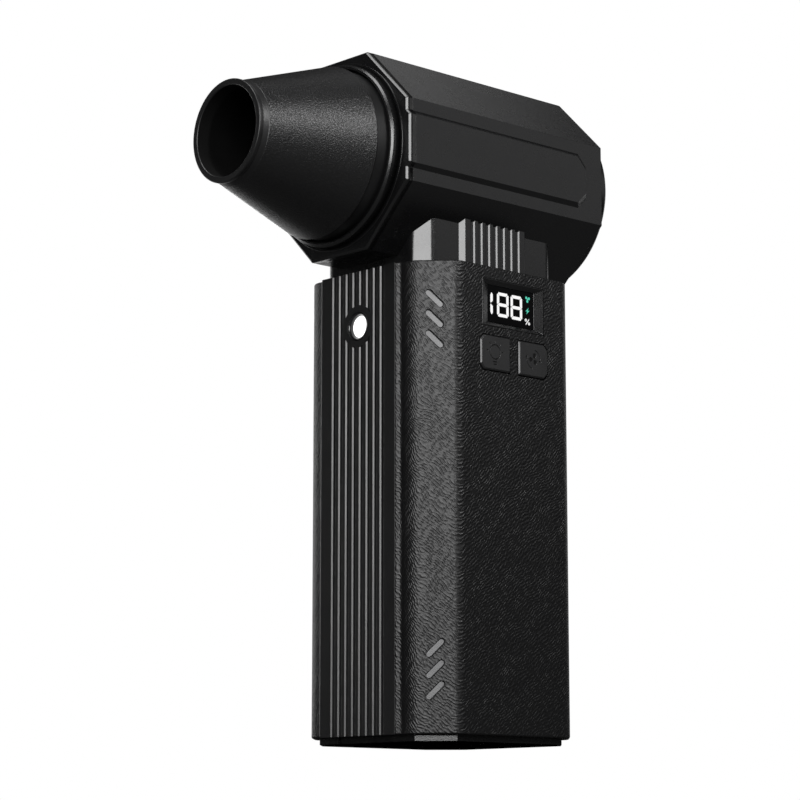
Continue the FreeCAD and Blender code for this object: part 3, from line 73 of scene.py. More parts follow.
def make_camera():
    data = bpy.data.cameras.new("camera")
    data.sensor_width = 36.0
    data.lens = CAMERA_LENS
    data.clip_start = 0.01
    data.clip_end = 20.0
    camera = bpy.data.objects.new("camera", data)
    camera.location = Vector(CAMERA_PLACE) * MM
    camera.rotation_euler = (math.radians(90 + CAMERA_PITCH), 0, math.radians(CAMERA_TURN))
    scene.collection.objects.link(camera)
    scene.camera = camera


# Light

ROOM_LIGHT = 0.02
BACKDROP = (-0.93, 0.37, 0)
FLOOR_RADIUS, FLOOR_Z = 1.6, -0.0002
LAMP_DISTANCE = 0.9
LAMP_TARGET = (0, 0, 0.11)

# Each lamp has a name, a bearing from -Y towards +X, a height angle, a width, a height and a power

LAMPS = (
    ("front_box", 44, 14, 0.42, 0.5, 9.0),
    ("front_top", 4, 65, 0.5, 0.35, 4.5),
    ("side_box", 98, 32, 0.3, 0.2, 4.2),
    ("side_fill", 134, 20, 0.5, 0.3, 0.25),
    ("overhead", 200, 58, 0.34, 0.36, 0.2),
    ("back_box", 184, 10, 0.36, 0.4, 0.45),
    ("left_strip", -86, 8, 0.2, 0.5, 1.2),
    ("rim", 230, 13, 0.4, 0.1, 0.8),
)


def make_lamp(name, bearing, rise, width, height, power):
    """Soft box that faces the object. Its angles are in degrees."""
    bearing, rise = math.radians(bearing), math.radians(rise)
    level = math.cos(rise)
    towards = Vector((math.sin(bearing) * level, -math.cos(bearing) * level, math.sin(rise)))
    data = bpy.data.lights.new(name, "AREA")
    data.shape = "RECTANGLE"
    data.size, data.size_y = width, height
    data.energy = power
    lamp = bpy.data.objects.new(name, data)
    lamp.location = Vector(LAMP_TARGET) + towards * LAMP_DISTANCE
    lamp.rotation_euler = (-towards).to_track_quat("-Z", "Y").to_euler()
    lamp.visible_camera = False
    scene.collection.objects.link(lamp)


def smooth_step(tree, value, low, high):
    """0 below low, 1 above high and a soft change between."""
    ranged = tree.nodes.new("ShaderNodeMapRange")
    ranged.interpolation_type = "SMOOTHSTEP"
    ranged.inputs["From Min"].default_value = low
    ranged.inputs["From Max"].default_value = high
    tree.links.new(value, ranged.inputs["Value"])
    return ranged.outputs["Result"]


def calculate(tree, operation, first, second):
    """Result of two values, each a float or the output of a shader node."""
    node = tree.nodes.new("ShaderNodeMath")
    node.operation = operation
    for index, value in enumerate((first, second)):
        if isinstance(value, float):
            node.inputs[index].default_value = value
        else:
            tree.links.new(value, node.inputs[index])
    return node.outputs[0]


def mix_colours(tree, share, first, second):
    """The first colour where the share is 0, and the second where it is 1."""
    mix = tree.nodes.new("ShaderNodeMix")
    mix.data_type = "RGBA"
    mix.inputs["A"].default_value = (*first, 1)
    mix.inputs["B"].default_value = (*second, 1)
    tree.links.new(share, mix.inputs["Factor"])
    return mix.outputs["Result"]


def mix_shaders(tree, share, first, second):
    """The first shader where the share is 0, and the second where it is 1."""
    mix = tree.nodes.new("ShaderNodeMixShader")
    tree.links.new(share, mix.inputs[0])
    tree.links.new(first.outputs[0], mix.inputs[1])
    tree.links.new(second.outputs[0], mix.inputs[2])
    return mix


def towards_backdrop(tree, vector):
    """Share of a direction or place that lies on the lit side of the studio, behind the object."""
    dot = tree.nodes.new("ShaderNodeVectorMath")
    dot.operation = "DOT_PRODUCT"
    dot.inputs[1].default_value = BACKDROP
    tree.links.new(vector, dot.inputs[0])
    return dot.outputs["Value"]


def background(tree, strength):
    node = tree.nodes.new("ShaderNodeBackground")
    node.inputs["Color"].default_value = (1, 1, 1, 1)
    node.inputs["Strength"].default_value = strength
    return node


def make_world():
    """White for the camera, through clear pieces and in reflections low behind the object. Dim elsewhere."""
    fade_up, fade_aside = (0.16, 0.32), (0.55, 0.85)
    world = bpy.data.worlds.new("studio")
    scene.world = world
    world.use_nodes = True
    world.cycles.sampling_method = "NONE"
    tree = world.node_tree
    tree.nodes.clear()
    out = tree.nodes.new("ShaderNodeOutputWorld")
    path = tree.nodes.new("ShaderNodeLightPath")
    place = tree.nodes.new("ShaderNodeTexCoord").outputs["Generated"]
    height = tree.nodes.new("ShaderNodeSeparateXYZ")
    tree.links.new(place, height.inputs[0])
    low = calculate(tree, "SUBTRACT", 1.0, smooth_step(tree, height.outputs["Z"], *fade_up))
    side = smooth_step(tree, towards_backdrop(tree, place), *fade_aside)
    shiny = calculate(tree, "MULTIPLY", path.outputs["Is Glossy Ray"], calculate(tree, "MULTIPLY", low, side))
    direct = calculate(tree, "MAXIMUM", path.outputs["Is Camera Ray"], path.outputs["Is Transmission Ray"])
    white = calculate(tree, "MAXIMUM", direct, shiny)
    mix = mix_shaders(tree, white, background(tree, ROOM_LIGHT), background(tree, 1.0))
    tree.links.new(mix.outputs[0], out.inputs["Surface"])


def floor_material():
    """Pale paint for the camera and dark paint for other light.

    It turns white far off for the camera, and towards the backdrop in reflections.
    """
    fade_out, fade_aside = (0.2, 0.6), (0.38, 0.8)
    dark, pale = (0.1, 0.1, 0.1), (0.85, 0.85, 0.85)
    material = bpy.data.materials.new("floor")
    material.use_nodes = True
    material.cycles.emission_sampling = "NONE"
    tree = material.node_tree
    tree.nodes.clear()
    out = tree.nodes.new("ShaderNodeOutputMaterial")
    path = tree.nodes.new("ShaderNodeLightPath")
    paint = tree.nodes.new("ShaderNodeBsdfDiffuse")
    tree.links.new(mix_colours(tree, path.outputs["Is Camera Ray"], dark, pale), paint.inputs["Color"])
    place = tree.nodes.new("ShaderNodeTexCoord").outputs["Object"]
    reach = tree.nodes.new("ShaderNodeVectorMath")
    reach.operation = "LENGTH"
    tree.links.new(place, reach.inputs[0])
    away = smooth_step(tree, reach.outputs["Value"], *fade_out)
    side = smooth_step(tree, towards_backdrop(tree, place), *fade_aside)
    far = calculate(tree, "MULTIPLY", path.outputs["Is Camera Ray"], away)
    shiny = calculate(tree, "MULTIPLY", path.outputs["Is Glossy Ray"], side)
    white = calculate(tree, "MAXIMUM", far, shiny)
    lit = mix_shaders(tree, white, paint, tree.nodes.new("ShaderNodeEmission"))
    below = tree.nodes.new("ShaderNodeNewGeometry").outputs["Backfacing"]
    mix = mix_shaders(tree, below, lit, tree.nodes.new("ShaderNodeBsdfTransparent"))
    tree.links.new(mix.outputs[0], out.inputs["Surface"])
    return material


def make_floor():
    """Floor that takes the shadow. It is clear from below, where the camera looks up at the object."""
    shape = bmesh.new()
    bmesh.ops.create_circle(shape, cap_ends=True, segments=96, radius=FLOOR_RADIUS)
    floor = new_piece("floor", shape, smooth=False)
    floor.location.z = FLOOR_Z
    floor.data.materials.append(floor_material())


# Materials

BLACK = (0.003, 0.003, 0.0032)


class Surface:
    """A procedural material: a principled shader with helpers for the nodes round it."""

    def __init__(self, name, colour, roughness, metallic=0.0, specular=0.5):
        self.material = bpy.data.materials.new(name)
        self.material.use_nodes = True
        self.tree = self.material.node_tree
        self.shader = self.tree.nodes["Principled BSDF"]
        self.shader.inputs["Base Color"].default_value = (*colour, 1)
        self.shader.inputs["Roughness"].default_value = roughness
        self.shader.inputs["Metallic"].default_value = metallic
        self.shader.inputs["Specular IOR Level"].default_value = specular
        self.colour = colour

    def node(self, kind, **values):
        node = self.tree.nodes.new(kind)
        for key, value in values.items():
            setattr(node, key, value)
        return node

    def link(self, output, target):
        self.tree.links.new(output, target)

    def place(self):
        """Object coordinates in millimetres."""
        coords = self.node("ShaderNodeTexCoord")
        grow = self.node("ShaderNodeVectorMath", operation="SCALE")
        grow.inputs["Scale"].default_value = 1000.0
        self.link(coords.outputs["Object"], grow.inputs[0])
        return grow.outputs[0]

    def noise(self, scale, detail):
        """Noise with features about 1/scale mm across."""
        noise = self.node("ShaderNodeTexNoise")
        noise.inputs["Scale"].default_value = scale
        noise.inputs["Detail"].default_value = detail
        noise.inputs["Roughness"].default_value = 0.5
        self.link(self.place(), noise.inputs["Vector"])
        return noise.outputs["Fac"]

    def span(self, value, low, high, from_low=0.3, from_high=0.7):
        """The value's range, moved to the range from low to high."""
        ranged = self.node("ShaderNodeMapRange")
        ranged.inputs["From Min"].default_value = from_low
        ranged.inputs["From Max"].default_value = from_high
        ranged.inputs["To Min"].default_value = low
        ranged.inputs["To Max"].default_value = high
        self.link(value, ranged.inputs["Value"])
        return ranged.outputs["Result"]

    def vary_roughness(self, scale, low, high):
        self.link(self.span(self.noise(scale, 4.0), low, high), self.shader.inputs["Roughness"])

    def vary_colour(self, scale, other):
        share = self.span(self.noise(scale, 4.0), 0.0, 1.0)
        self.link(mix_colours(self.tree, share, self.colour, other), self.shader.inputs["Base Color"])

    def bump(self, height, depth_mm):
        bump = self.node("ShaderNodeBump")
        bump.inputs["Strength"].default_value = 1.0
        bump.inputs["Distance"].default_value = depth_mm * MM
        self.link(height, bump.inputs["Height"])
        self.link(bump.outputs["Normal"], self.shader.inputs["Normal"])


def moulded(name, colour, roughness, grain=0.02, scale=3.0, specular=0.5, uneven=0.045):
    """Injection-moulded plastic: a fine even texture and slightly uneven gloss."""
    surface = Surface(name, colour, roughness, specular=specular)
    surface.vary_roughness(0.12, roughness - uneven, roughness + uneven)
    lighter = tuple(c * 1.25 for c in colour)
    surface.vary_colour(0.2, lighter)
    surface.bump(surface.noise(scale, 2.0), grain)
    return surface.material


def metal(name, colour, roughness, scale=2.0, grain=0.01):
    """Bare metal with uneven gloss and a slightly darker cast in places."""
    surface = Surface(name, colour, roughness, metallic=1.0)
    surface.vary_roughness(0.3, roughness - 0.06, roughness + 0.08)
    darker = tuple(c * 0.85 for c in colour)
    surface.vary_colour(0.25, darker)
    surface.bump(surface.noise(scale, 3.0), grain)
    return surface.material


def leather():
    """Pressed hide: two sets of fine ridges that cross at a low angle and break each other into pebbles."""
    pitch, depth = 0.87, 0.08
    ridge, pebble = 0.25, 0.45
    dull, shiny = 0.46, 0.36
    # Each set has a direction, the scale of its sway and how far it sways
    sets = (((-1.4, 0.575, -0.85), 0.6, 10.0), ((-2.1, 0.865, -0.55), 0.45, 12.0))
    surface = Surface("leather", BLACK, 0.4, specular=0.3)
    tree = surface.tree
    drift = calculate(tree, "MULTIPLY", surface.noise(0.1, 1.0), 30.0)
    waves = []
    for direction, scale, sway in sets:
        slope = surface.node("ShaderNodeVectorMath", operation="DOT_PRODUCT")
        slope.inputs[1].default_value = direction
        surface.link(surface.place(), slope.inputs[0])
        phase = calculate(tree, "MULTIPLY", slope.outputs["Value"], 2 * math.pi / pitch)
        phase = calculate(tree, "ADD", phase, drift)
        phase = calculate(tree, "ADD", phase, calculate(tree, "MULTIPLY", surface.noise(scale, 1.0), sway))
        waves.append(calculate(tree, "SINE", phase, 0.0))
    height = calculate(tree, "MULTIPLY", calculate(tree, "ADD", waves[0], waves[1]), ridge)
    height = calculate(tree, "ADD", height, calculate(tree, "MULTIPLY", surface.noise(1.3, 1.0), pebble))
    surface.bump(height, depth)
    surface.link(surface.span(height, dull, shiny, -0.2, 0.7), surface.shader.inputs["Roughness"])
    return surface.material


def grained_nozzle():
    """Spark-eroded mould texture on the cone between two places along Y, and smooth plastic beyond them."""
    low, high, blur = -73.7, -44.7, 0.15
    smooth, rough, depth = 0.42, 0.34, 0.13
    surface = Surface("grained_nozzle", BLACK, rough, specular=0.5)
    tree = surface.tree
    split = surface.node("ShaderNodeSeparateXYZ")
    surface.link(surface.place(), split.inputs[0])
    along = split.outputs["Y"]
    past_high = smooth_step(tree, along, high - blur, high + blur)
    inside = calculate(tree, "MULTIPLY", smooth_step(tree, along, low - blur, low + blur),
                       calculate(tree, "SUBTRACT", 1.0, past_high))
    gloss = surface.node("ShaderNodeMix", data_type="FLOAT")
    gloss.inputs["A"].default_value = smooth
    surface.link(surface.span(surface.noise(2.6, 1.0), rough - 0.04, rough + 0.1), gloss.inputs["B"])
    surface.link(inside, gloss.inputs["Factor"])
    surface.link(gloss.outputs["Result"], surface.shader.inputs["Roughness"])
    surface.bump(calculate(tree, "MULTIPLY", surface.noise(2.8, 1.0), inside), depth)
    return surface.material


def glowing(name, colour, strength):
    """Lit plastic whose glow is slightly uneven."""
    surface = Surface(name, (0.02, 0.02, 0.02), 0.4)
    weaker = tuple(c * 0.9 for c in colour)
    glow = mix_colours(surface.tree, surface.noise(0.8, 2.0), colour, weaker)
    surface.link(glow, surface.shader.inputs["Emission Color"])
    surface.shader.inputs["Emission Strength"].default_value = strength
    return surface.material


def display_glass():
    """Black glass with faint waves."""
    surface = Surface("display_glass", (0.001, 0.001, 0.0012), 0.07, specular=0.03)
    surface.bump(surface.noise(0.15, 1.0), 0.002)
    surface.vary_colour(0.3, (0.0016, 0.0016, 0.0018))
    return surface.material


# Each plastic has a name, a colour, a roughness and what differs from a moulded part's usual values

PLASTICS = (
    ("satin_shell", BLACK, 0.27, {"uneven": 0.015}),
    ("ribbed_panel", BLACK, 0.36, {"uneven": 0.02}),
    ("handle_shell", (0.004, 0.004, 0.0042), 0.6, {"specular": 0.3}),
    ("gloss_trim", (0.006, 0.006, 0.0065), 0.14, {"grain": 0.003}),
    ("led_package", (0.75, 0.6, 0.15), 0.3, {}),
    ("display_screen", (0.004, 0.004, 0.005), 0.3, {"grain": 0.002}),
    ("button_plastic", (0.008, 0.008, 0.0083), 0.4, {}),
    ("circuit_board", (0.01, 0.11, 0.04), 0.35, {}),
    ("switch_plastic", (0.03, 0.03, 0.032), 0.5, {}),
    ("seal_rubber", (0.01, 0.01, 0.01), 0.65, {}),
    ("duct_plastic", (0.02, 0.02, 0.022), 0.5, {}),
    ("cell_sleeve", (0.02, 0.14, 0.36), 0.3, {}),
    ("holder_plastic", (0.02, 0.02, 0.022), 0.5, {}),
    ("chip_plastic", (0.01, 0.01, 0.011), 0.5, {}),
    ("capacitor_sleeve", (0.01, 0.02, 0.09), 0.3, {}),
    ("lead_insulation", (0.35, 0.01, 0.01), 0.45, {}),
    ("slot_bar", (0.05, 0.05, 0.052), 0.4, {}),
    # Painted shade: a darker, duller black for the inside of the nozzle's bore
    ("nozzle_bore_shade", (0.002, 0.002, 0.002), 0.6, {"specular": 0.2}),
    # Painted shade: a near-black, dull fill for the engraved icon lines on the buttons
    ("icon_groove_shade", (0.002, 0.002, 0.002), 0.75, {"specular": 0.15}),
)

# Each metal has a name, a colour, a roughness and what differs from bare metal's usual values

METALS = (
    ("screw_steel", (0.12, 0.12, 0.13), 0.35, {}),
    ("motor_metal", (0.6, 0.61, 0.63), 0.3, {}),
    ("motor_iron", (0.25, 0.25, 0.26), 0.5, {}),
    ("copper", (0.75, 0.32, 0.15), 0.3, {"scale": 4.0, "grain": 0.05}),
    ("magnet", (0.4, 0.4, 0.42), 0.35, {}),
    ("steel", (0.6, 0.6, 0.62), 0.25, {}),
    ("impeller_metal", (0.68, 0.69, 0.71), 0.3, {}),
    ("nickel", (0.62, 0.6, 0.56), 0.3, {}),
)


# Each lit material has a name, a colour and a strength

LIT = (
    ("lamp_diffuser", (1.0, 1.0, 1.0), 1.6),
    ("figures", (0.98, 0.98, 0.98), 1.0),
    ("signs", (0.06, 0.62, 0.44), 0.95),
)


def make_materials():
    """All materials by name. The names of the solids' slots are among them."""
    made = {"leather": leather(), "grained_nozzle": grained_nozzle(), "display_glass": display_glass()}
    for kind, rows in ((moulded, PLASTICS), (metal, METALS)):
        for name, colour, roughness, differs in rows:
            made[name] = kind(name, colour, roughness, **differs)
    for name, colour, strength in LIT:
        made[name] = glowing(name, colour, strength)
    return made


def paint_nodes(materials):
    """Gives every solid its own slot's material, and returns the slots by node."""
    slots = {entry["node"]: entry["material_slot"] for entry in frame["record"]["subparts"]}
    for name, node in nodes.items():
        node.data.materials.clear()
        node.data.materials.append(materials[slots[name]])
    return slots


# Shapes: points that lie nearer than these lengths in metres are joined, in rings and in copied solids

SAME_POINT, SPLIT_POINT = 0.0000005, 0.000002


def new_piece(name, shape, smooth=True):
    """The built shape as an object in the scene, shaded smooth or flat."""
    mesh = bpy.data.meshes.new(name)
    shape.to_mesh(mesh)
    shape.free()
    for polygon in mesh.polygons:
        polygon.use_smooth = smooth
    piece = bpy.data.objects.new(name, mesh)
    scene.collection.objects.link(piece)
    return piece


def round_path(corners, steps, closed=True, share=0.45):
    """2D path with arcs at its corners, each taking up to a share of its sides.

    corners are (x, y, radius). Each with a radius gives steps + 1 points, and the others give one.
    """
    path = []
    count = len(corners)
    for index, (x, y, radius) in enumerate(corners):
        here = Vector((x, y))
        if radius <= 0 or (not closed and index in (0, count - 1)):
            path.append(here)
            continue
        before = Vector(corners[index - 1][:2]) - here
        after = Vector(corners[(index + 1) % count][:2]) - here
        half = before.angle(after) / 2
        reach = min(radius / math.tan(half), share * before.length, share * after.length)
        radius = reach * math.tan(half)
        middle = here + (before.normalized() + after.normalized()).normalized() * (radius / math.sin(half))
        first = here + before.normalized() * reach - middle
        last = here + after.normalized() * reach - middle
        turn = first.angle_signed(last)
        for step in range(steps + 1):
            spoke = first.copy()
            spoke.rotate(Matrix.Rotation(-turn * step / steps, 2))
            path.append(middle + spoke)
    return path


def join_rows(shape, rows, closed):
    """Faces between each row of points and the next, and between the last and the first if closed."""
    pairs = list(zip(rows, rows[1:]))
    if closed:
        pairs.append((rows[-1], rows[0]))
    for this, following in pairs:
        for index in range(len(this)):
            after = (index + 1) % len(this)
            shape.faces.new((this[index], this[after], following[after], following[index]))


def lathe(name, profile, axis_z=AXIS_Z, segments=160, steps=4):
    """Ring solid about a line along Y. profile is a closed path of (y, radius, corner radius)."""
    path = round_path(profile, steps)
    shape = bmesh.new()
    rows = []
    for step in range(segments):
        turn = 2 * math.pi * step / segments
        rows.append([shape.verts.new(Vector((r * math.sin(turn), y, axis_z + r * math.cos(turn))) * MM)
                     for y, r in path])
    join_rows(shape, rows, closed=True)
    bmesh.ops.remove_doubles(shape, verts=shape.verts, dist=SAME_POINT)
    bmesh.ops.recalc_face_normals(shape, faces=shape.faces)
    return new_piece(name, shape)


def loft(name, loops, cap=True):
    """Solid through closed loops with the same number of points. Without caps the last joins the first."""
    shape = bmesh.new()
    rows = [[shape.verts.new(Vector(point) * MM) for point in loop] for loop in loops]
    if cap:
        shape.faces.new(list(reversed(rows[0])))
        shape.faces.new(rows[-1])
    join_rows(shape, rows, closed=not cap)
    bmesh.ops.recalc_face_normals(shape, faces=shape.faces)
    return new_piece(name, shape)


def prism(name, outlines, low, high, axis="X"):
    """Separate flat pieces with 2D outlines, from low to high along X or Y, as one object."""
    shape = bmesh.new()

    def row(outline, level):
        points = [(level, a, b) if axis == "X" else (a, level, b) for a, b in outline]
        return [shape.verts.new(Vector(point) * MM) for point in points]

    for outline in outlines:
        foot, head = row(outline, low), row(outline, high)
        shape.faces.new(foot)
        shape.faces.new(list(reversed(head)))
        for index in range(len(outline)):
            after = (index + 1) % len(outline)
            shape.faces.new((foot[index], head[index], head[after], foot[after]))
    bmesh.ops.recalc_face_normals(shape, faces=shape.faces)
    return new_piece(name, shape, smooth=False)


def carve(piece, cutter):
    """Takes the cutter's volume out of the piece, and the cutter out of the scene."""
    cut = piece.modifiers.new("carve", "BOOLEAN")
    cut.operation = "DIFFERENCE"
    cut.solver = "EXACT"
    cut.object = cutter
    bpy.context.view_layer.update()
    shown = piece.evaluated_get(bpy.context.evaluated_depsgraph_get())
    mesh = bpy.data.meshes.new_from_object(shown)
    piece.modifiers.clear()
    piece.data = mesh
    bpy.data.objects.remove(cutter)


def round_edges(piece, width, angle=28.0):
    """Rounds the edges that turn by more than an angle in degrees."""
    bevel = piece.modifiers.new("soften", "BEVEL")
    bevel.width = width * MM
    bevel.segments = 3
    bevel.limit_method = "ANGLE"
    bevel.angle_limit = math.radians(angle)
    bevel.use_clamp_overlap = True
    bevel.miter_outer = "MITER_ARC"


def smooth_faces(piece):
    """Large flat faces keep their own shading and small ones blend into them."""
    shade = piece.modifiers.new("shade", "WEIGHTED_NORMAL")
    shade.mode = "FACE_AREA"
    shade.weight = 60
    shade.keep_sharp = False


# Outlines in the plane of a face

def on_circle(y, z, radius, angle):
    """Point of a circle at an angle in radians."""
    return y + radius * math.cos(angle), z + radius * math.sin(angle)


def ring_outline(y, z, outer, inner, steps, start=0.0, end=360.0):
    """Closed outline of a band along an arc in degrees. A whole turn has a hair's gap."""
    end = min(end, start + 359.6)
    angles = [math.radians(start + (end - start) * k / steps) for k in range(steps + 1)]
    return [on_circle(y, z, outer, a) for a in angles] + [on_circle(y, z, inner, a) for a in reversed(angles)]


def bar_outline(y0, z0, y1, z1, width):
    """Round-ended bar between two points."""
    along = Vector((y1 - y0, z1 - z0)).normalized()
    base = math.atan2(along.y, along.x)
    points = []
    for y, z, start in ((y0, z0, base + math.pi / 2), (y1, z1, base - math.pi / 2)):
        points += [on_circle(y, z, width / 2, start + math.pi * k / 6) for k in range(7)]
    return points


# Pieces that stand for CAD nodes, and details that are added to them

def stand_for(piece, node, slots, materials, body="housing"):
    """The piece takes the place of a node, with the material of its slot."""
    smooth_faces(piece)
    slot = slots[node]
    piece.data.materials.clear()
    piece.data.materials.append(materials[slot])
    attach(piece, body)
    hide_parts(node)


def add_detail(piece, material, body):
    """The piece is an extra on a body, and takes no node's place."""
    piece.data.materials.append(material)
    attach(piece, body)


# Each node that is a softened copy of its solid, with the width of its edges and their least angle

SOFT_NODES = (
    ("head_housing", 0.6, 28.0),
    ("neck_collar", 0.25, 36.0),
    ("base_cover", 0.2, 28.0),
    ("front_panel", 0.14, 28.0),
    ("top_cap", 0.2, 28.0),
    ("rear_cap", 0.15, 28.0),
)
NECK_CORNER = (14.8, 20.4)
NECK_RADIUS = 6.0
NECK_FLAT = 5.4


def copy_node(name):
    """The node's mesh as a new piece, with its split edges joined and its flat faces made whole."""
    shape = bmesh.new()
    shape.from_mesh(nodes[name].data)
    bmesh.ops.remove_doubles(shape, verts=shape.verts, dist=SPLIT_POINT)
    bmesh.ops.dissolve_limit(shape, angle_limit=math.radians(0.6), verts=shape.verts, edges=shape.edges,
                             use_dissolve_boundaries=False)
    return new_piece(name + "_dressed", shape)


def flatten_corners(piece, centre, radius, depth):
    """Round upright corners become flats across the corner that keep round ends.

    centre is the middle of a corner's arc. Only points near the arc are moved.
    """
    for vert in piece.data.vertices:
        x, y = abs(vert.co.x) / MM - centre[0], abs(vert.co.y) / MM - centre[1]
        if x > 0.01 and y > 0.01 and abs(math.hypot(x, y) - radius) < 0.06:
            turn = math.atan2(y, x)
            reach = min(radius, depth / math.cos(turn - math.pi / 4))
            vert.co.x = math.copysign((centre[0] + reach * math.cos(turn)) * MM, vert.co.x)
            vert.co.y = math.copysign((centre[1] + reach * math.sin(turn)) * MM, vert.co.y)


def soften_nodes(slots, materials):
    """Copies of solids that need rounder edges, and in the neck's case other corners."""
    for name, width, angle in SOFT_NODES:
        piece = copy_node(name)
        if name == "neck_collar":
            flatten_corners(piece, NECK_CORNER, NECK_RADIUS, NECK_FLAT)
        round_edges(piece, width, angle)
        stand_for(piece, name, slots, materials)


def make_nozzle(slots, materials):
    """Spigot, cone and rolled lip, with painted shade inside the bore: its inward faces take a darker, duller
    black.
    """
    bore_front, bore_rear = -76.3, -37.0
    piece = lathe("nozzle_dressed", [
        (-36.8, 21.8, 0.25), (-38.95, 21.8, 0), (-38.95, 23.1, 0.1), (-44.3, 23.1, 0.15), (-44.8, 23.6, 0.25),
        (-75.2, 13.57, 0.2), (-75.65, 13.55, 0.1), (-75.8, 13.9, 0.15), (-76.9, 13.9, 0.3),
        (-76.9, 12.15, 0.35), (-72.9, 12.15, 3.0), (-44.8, 21.5, 0.8), (-36.8, 20.2, 0.3)])
    stand_for(piece, "nozzle", slots, materials, "nozzle")
    # The bore's inward faces get a second, darker and duller black: painted shade inside the nozzle.
    piece.data.materials.append(materials["nozzle_bore_shade"])
    for polygon in piece.data.polygons:
        middle = polygon.center / MM
        inward = middle.x * polygon.normal.x + (middle.z - AXIS_Z) * polygon.normal.z < 0
        if inward and bore_front < middle.y < bore_rear:
            polygon.material_index = 1


# Front bezel: a plate in the head's outline, and a collar on it

BEZEL_REACH = 27.3
BEZEL_REAR, BEZEL_FRONT = -35.6, -37.8
BEZEL_BORE = 21.9
SIDE_PANEL_HALF, SIDE_PANEL_PROUD = 6.65, 1.15


def bezel_outline(inset):
    """The octagon with a raised panel on either side, drawn in by an inset, as (x, z, corner radius)."""
    edge = BEZEL_REACH - inset
    tip = edge * math.tan(math.pi / 8)
    half, proud, drawn = SIDE_PANEL_HALF, SIDE_PANEL_PROUD, inset * 0.4
    side = [(edge, -tip), (edge, -half - proud + drawn), (edge + proud, -half + drawn),
            (edge + proud, half - drawn), (edge, half + proud - drawn), (edge, tip)]
    points = side + [(tip, edge), (-tip, edge)] + [(-x, -z) for x, z in side] + [(-tip, -edge), (tip, -edge)]

    def corner(x, z):
        at_panel_foot = abs(abs(x) - edge) < 0.01 and abs(abs(z) - tip) > 0.01
        return 0.35 if at_panel_foot else 0.5

    return [(x, z, corner(x, z)) for x, z in points]


def make_bezel(slots, materials):
    """Plate with bevelled edges, and a collar with a rounded front edge and a small foot."""
    levels = [(BEZEL_REAR, 0.0), (-37.24, 0.0), (-37.33, 0.03), (-37.77, 0.47), (BEZEL_FRONT, 0.56)]
    loops = [[(x, y, AXIS_Z + z) for x, z in round_path(bezel_outline(inset), 3)] for y, inset in levels]
    angles = [math.atan2(z - AXIS_Z, x) for x, y, z in loops[-1]]
    for y, radius in ((BEZEL_FRONT, 25.3), (BEZEL_FRONT, BEZEL_BORE), (BEZEL_REAR, BEZEL_BORE)):
        loops.append([(radius * math.cos(a), y, AXIS_Z + radius * math.sin(a)) for a in angles])
    plate = loft("front_bezel_dressed", loops, cap=False)
    collar = lathe("collar", [
        (-37.7, 25.0, 0), (-40.3, 25.0, 0.35), (-40.9, 24.4, 0.35), (-40.9, 23.7, 0.4), (-38.4, 23.7, 0.2),
        (-38.4, BEZEL_BORE, 0.2), (-37.7, BEZEL_BORE, 0)], steps=6)
    foot = lathe("collar_foot", [
        (-37.7, 25.9, 0), (-38.05, 25.9, 0.25), (-38.05, 24.9, 0), (-37.7, 24.9, 0)])
    for piece in (plate, collar, foot):
        stand_for(piece, "front_bezel", slots, materials)


# Leather: a skin round the handle, with openings and with bars that show in its slots

SKIN = 0.98
CHAMFER = 9.15
CHAMFER_MIDDLE = (24.225, -24.925)
OPENING_LOW, OPENING_HIGH = 26.0, 31.0
PORT_Z, PORT_HALF, PORT_WIDTH = 86.93, 2.9, 5.9
SLOT_GROUPS = ((110.75, -45), (18.3, 45))
SLOT_RISE = 5.48
SLOT_CUT = {"length": 6.4, "width": 1.9, "shift": 0.0, "low": -3.0, "high": 3.0}
SLOT_BAR = {"length": 6.1, "width": 1.5, "shift": -0.15, "low": 0.4, "high": 1.15}


def handle_path(inset):
    """Outline of the leather's face from the panel's right lip round the back to its left lip."""
    x, y, cut = LEATHER_X - inset, LEATHER_Y - inset, CHAMFER - inset * (2 - math.sqrt(2))
    strip, side = 5.5 - inset, 4.2 - inset
    right = [(14.3, -30.6 + inset, 0), (14.95, -30.55 + inset, 1.1), (16.0, -y, 1.1), (x - cut, -y, strip),
             (x, cut - y, side), (x, y - cut, side), (x - cut, y, strip)]
    left = [(-a, b, r) for a, b, r in reversed(right)]
    return [tuple(point) for point in round_path(right + left, 14, closed=False, share=0.85)]


def leather_skin():
    """The skin without its openings. Its upper and lower edges are rounded."""
    low, high, edge = LEATHER_LOW, LEATHER_HIGH, 0.45
    turns = (0.0, 0.5, 1.0, math.pi / 2)
    levels = [(low + edge - edge * math.cos(a), edge - edge * math.sin(a)) for a in turns]
    levels += [(high - edge + edge * math.sin(a), edge - edge * math.cos(a)) for a in turns]
    back = list(reversed(handle_path(SKIN)))
    return loft("leather_dressed", [[(x, y, z) for x, y in handle_path(inset) + back] for z, inset in levels])


def button_opening(side):
    """The button's outline with a gap all round it, and with sharp corners."""
    half, low, high = BUTTON_HALF + BUTTON_GAP, BUTTON_LOW - BUTTON_GAP, BUTTON_HIGH + BUTTON_GAP
    inner, outer, cut = side * (BUTTON_Y - half), side * (BUTTON_Y + half), side * BUTTON_CUT
    return [(inner, low), (outer - cut, low), (outer, low + BUTTON_CUT), (outer, high - BUTTON_CUT),
            (outer - cut, high), (inner, high)]


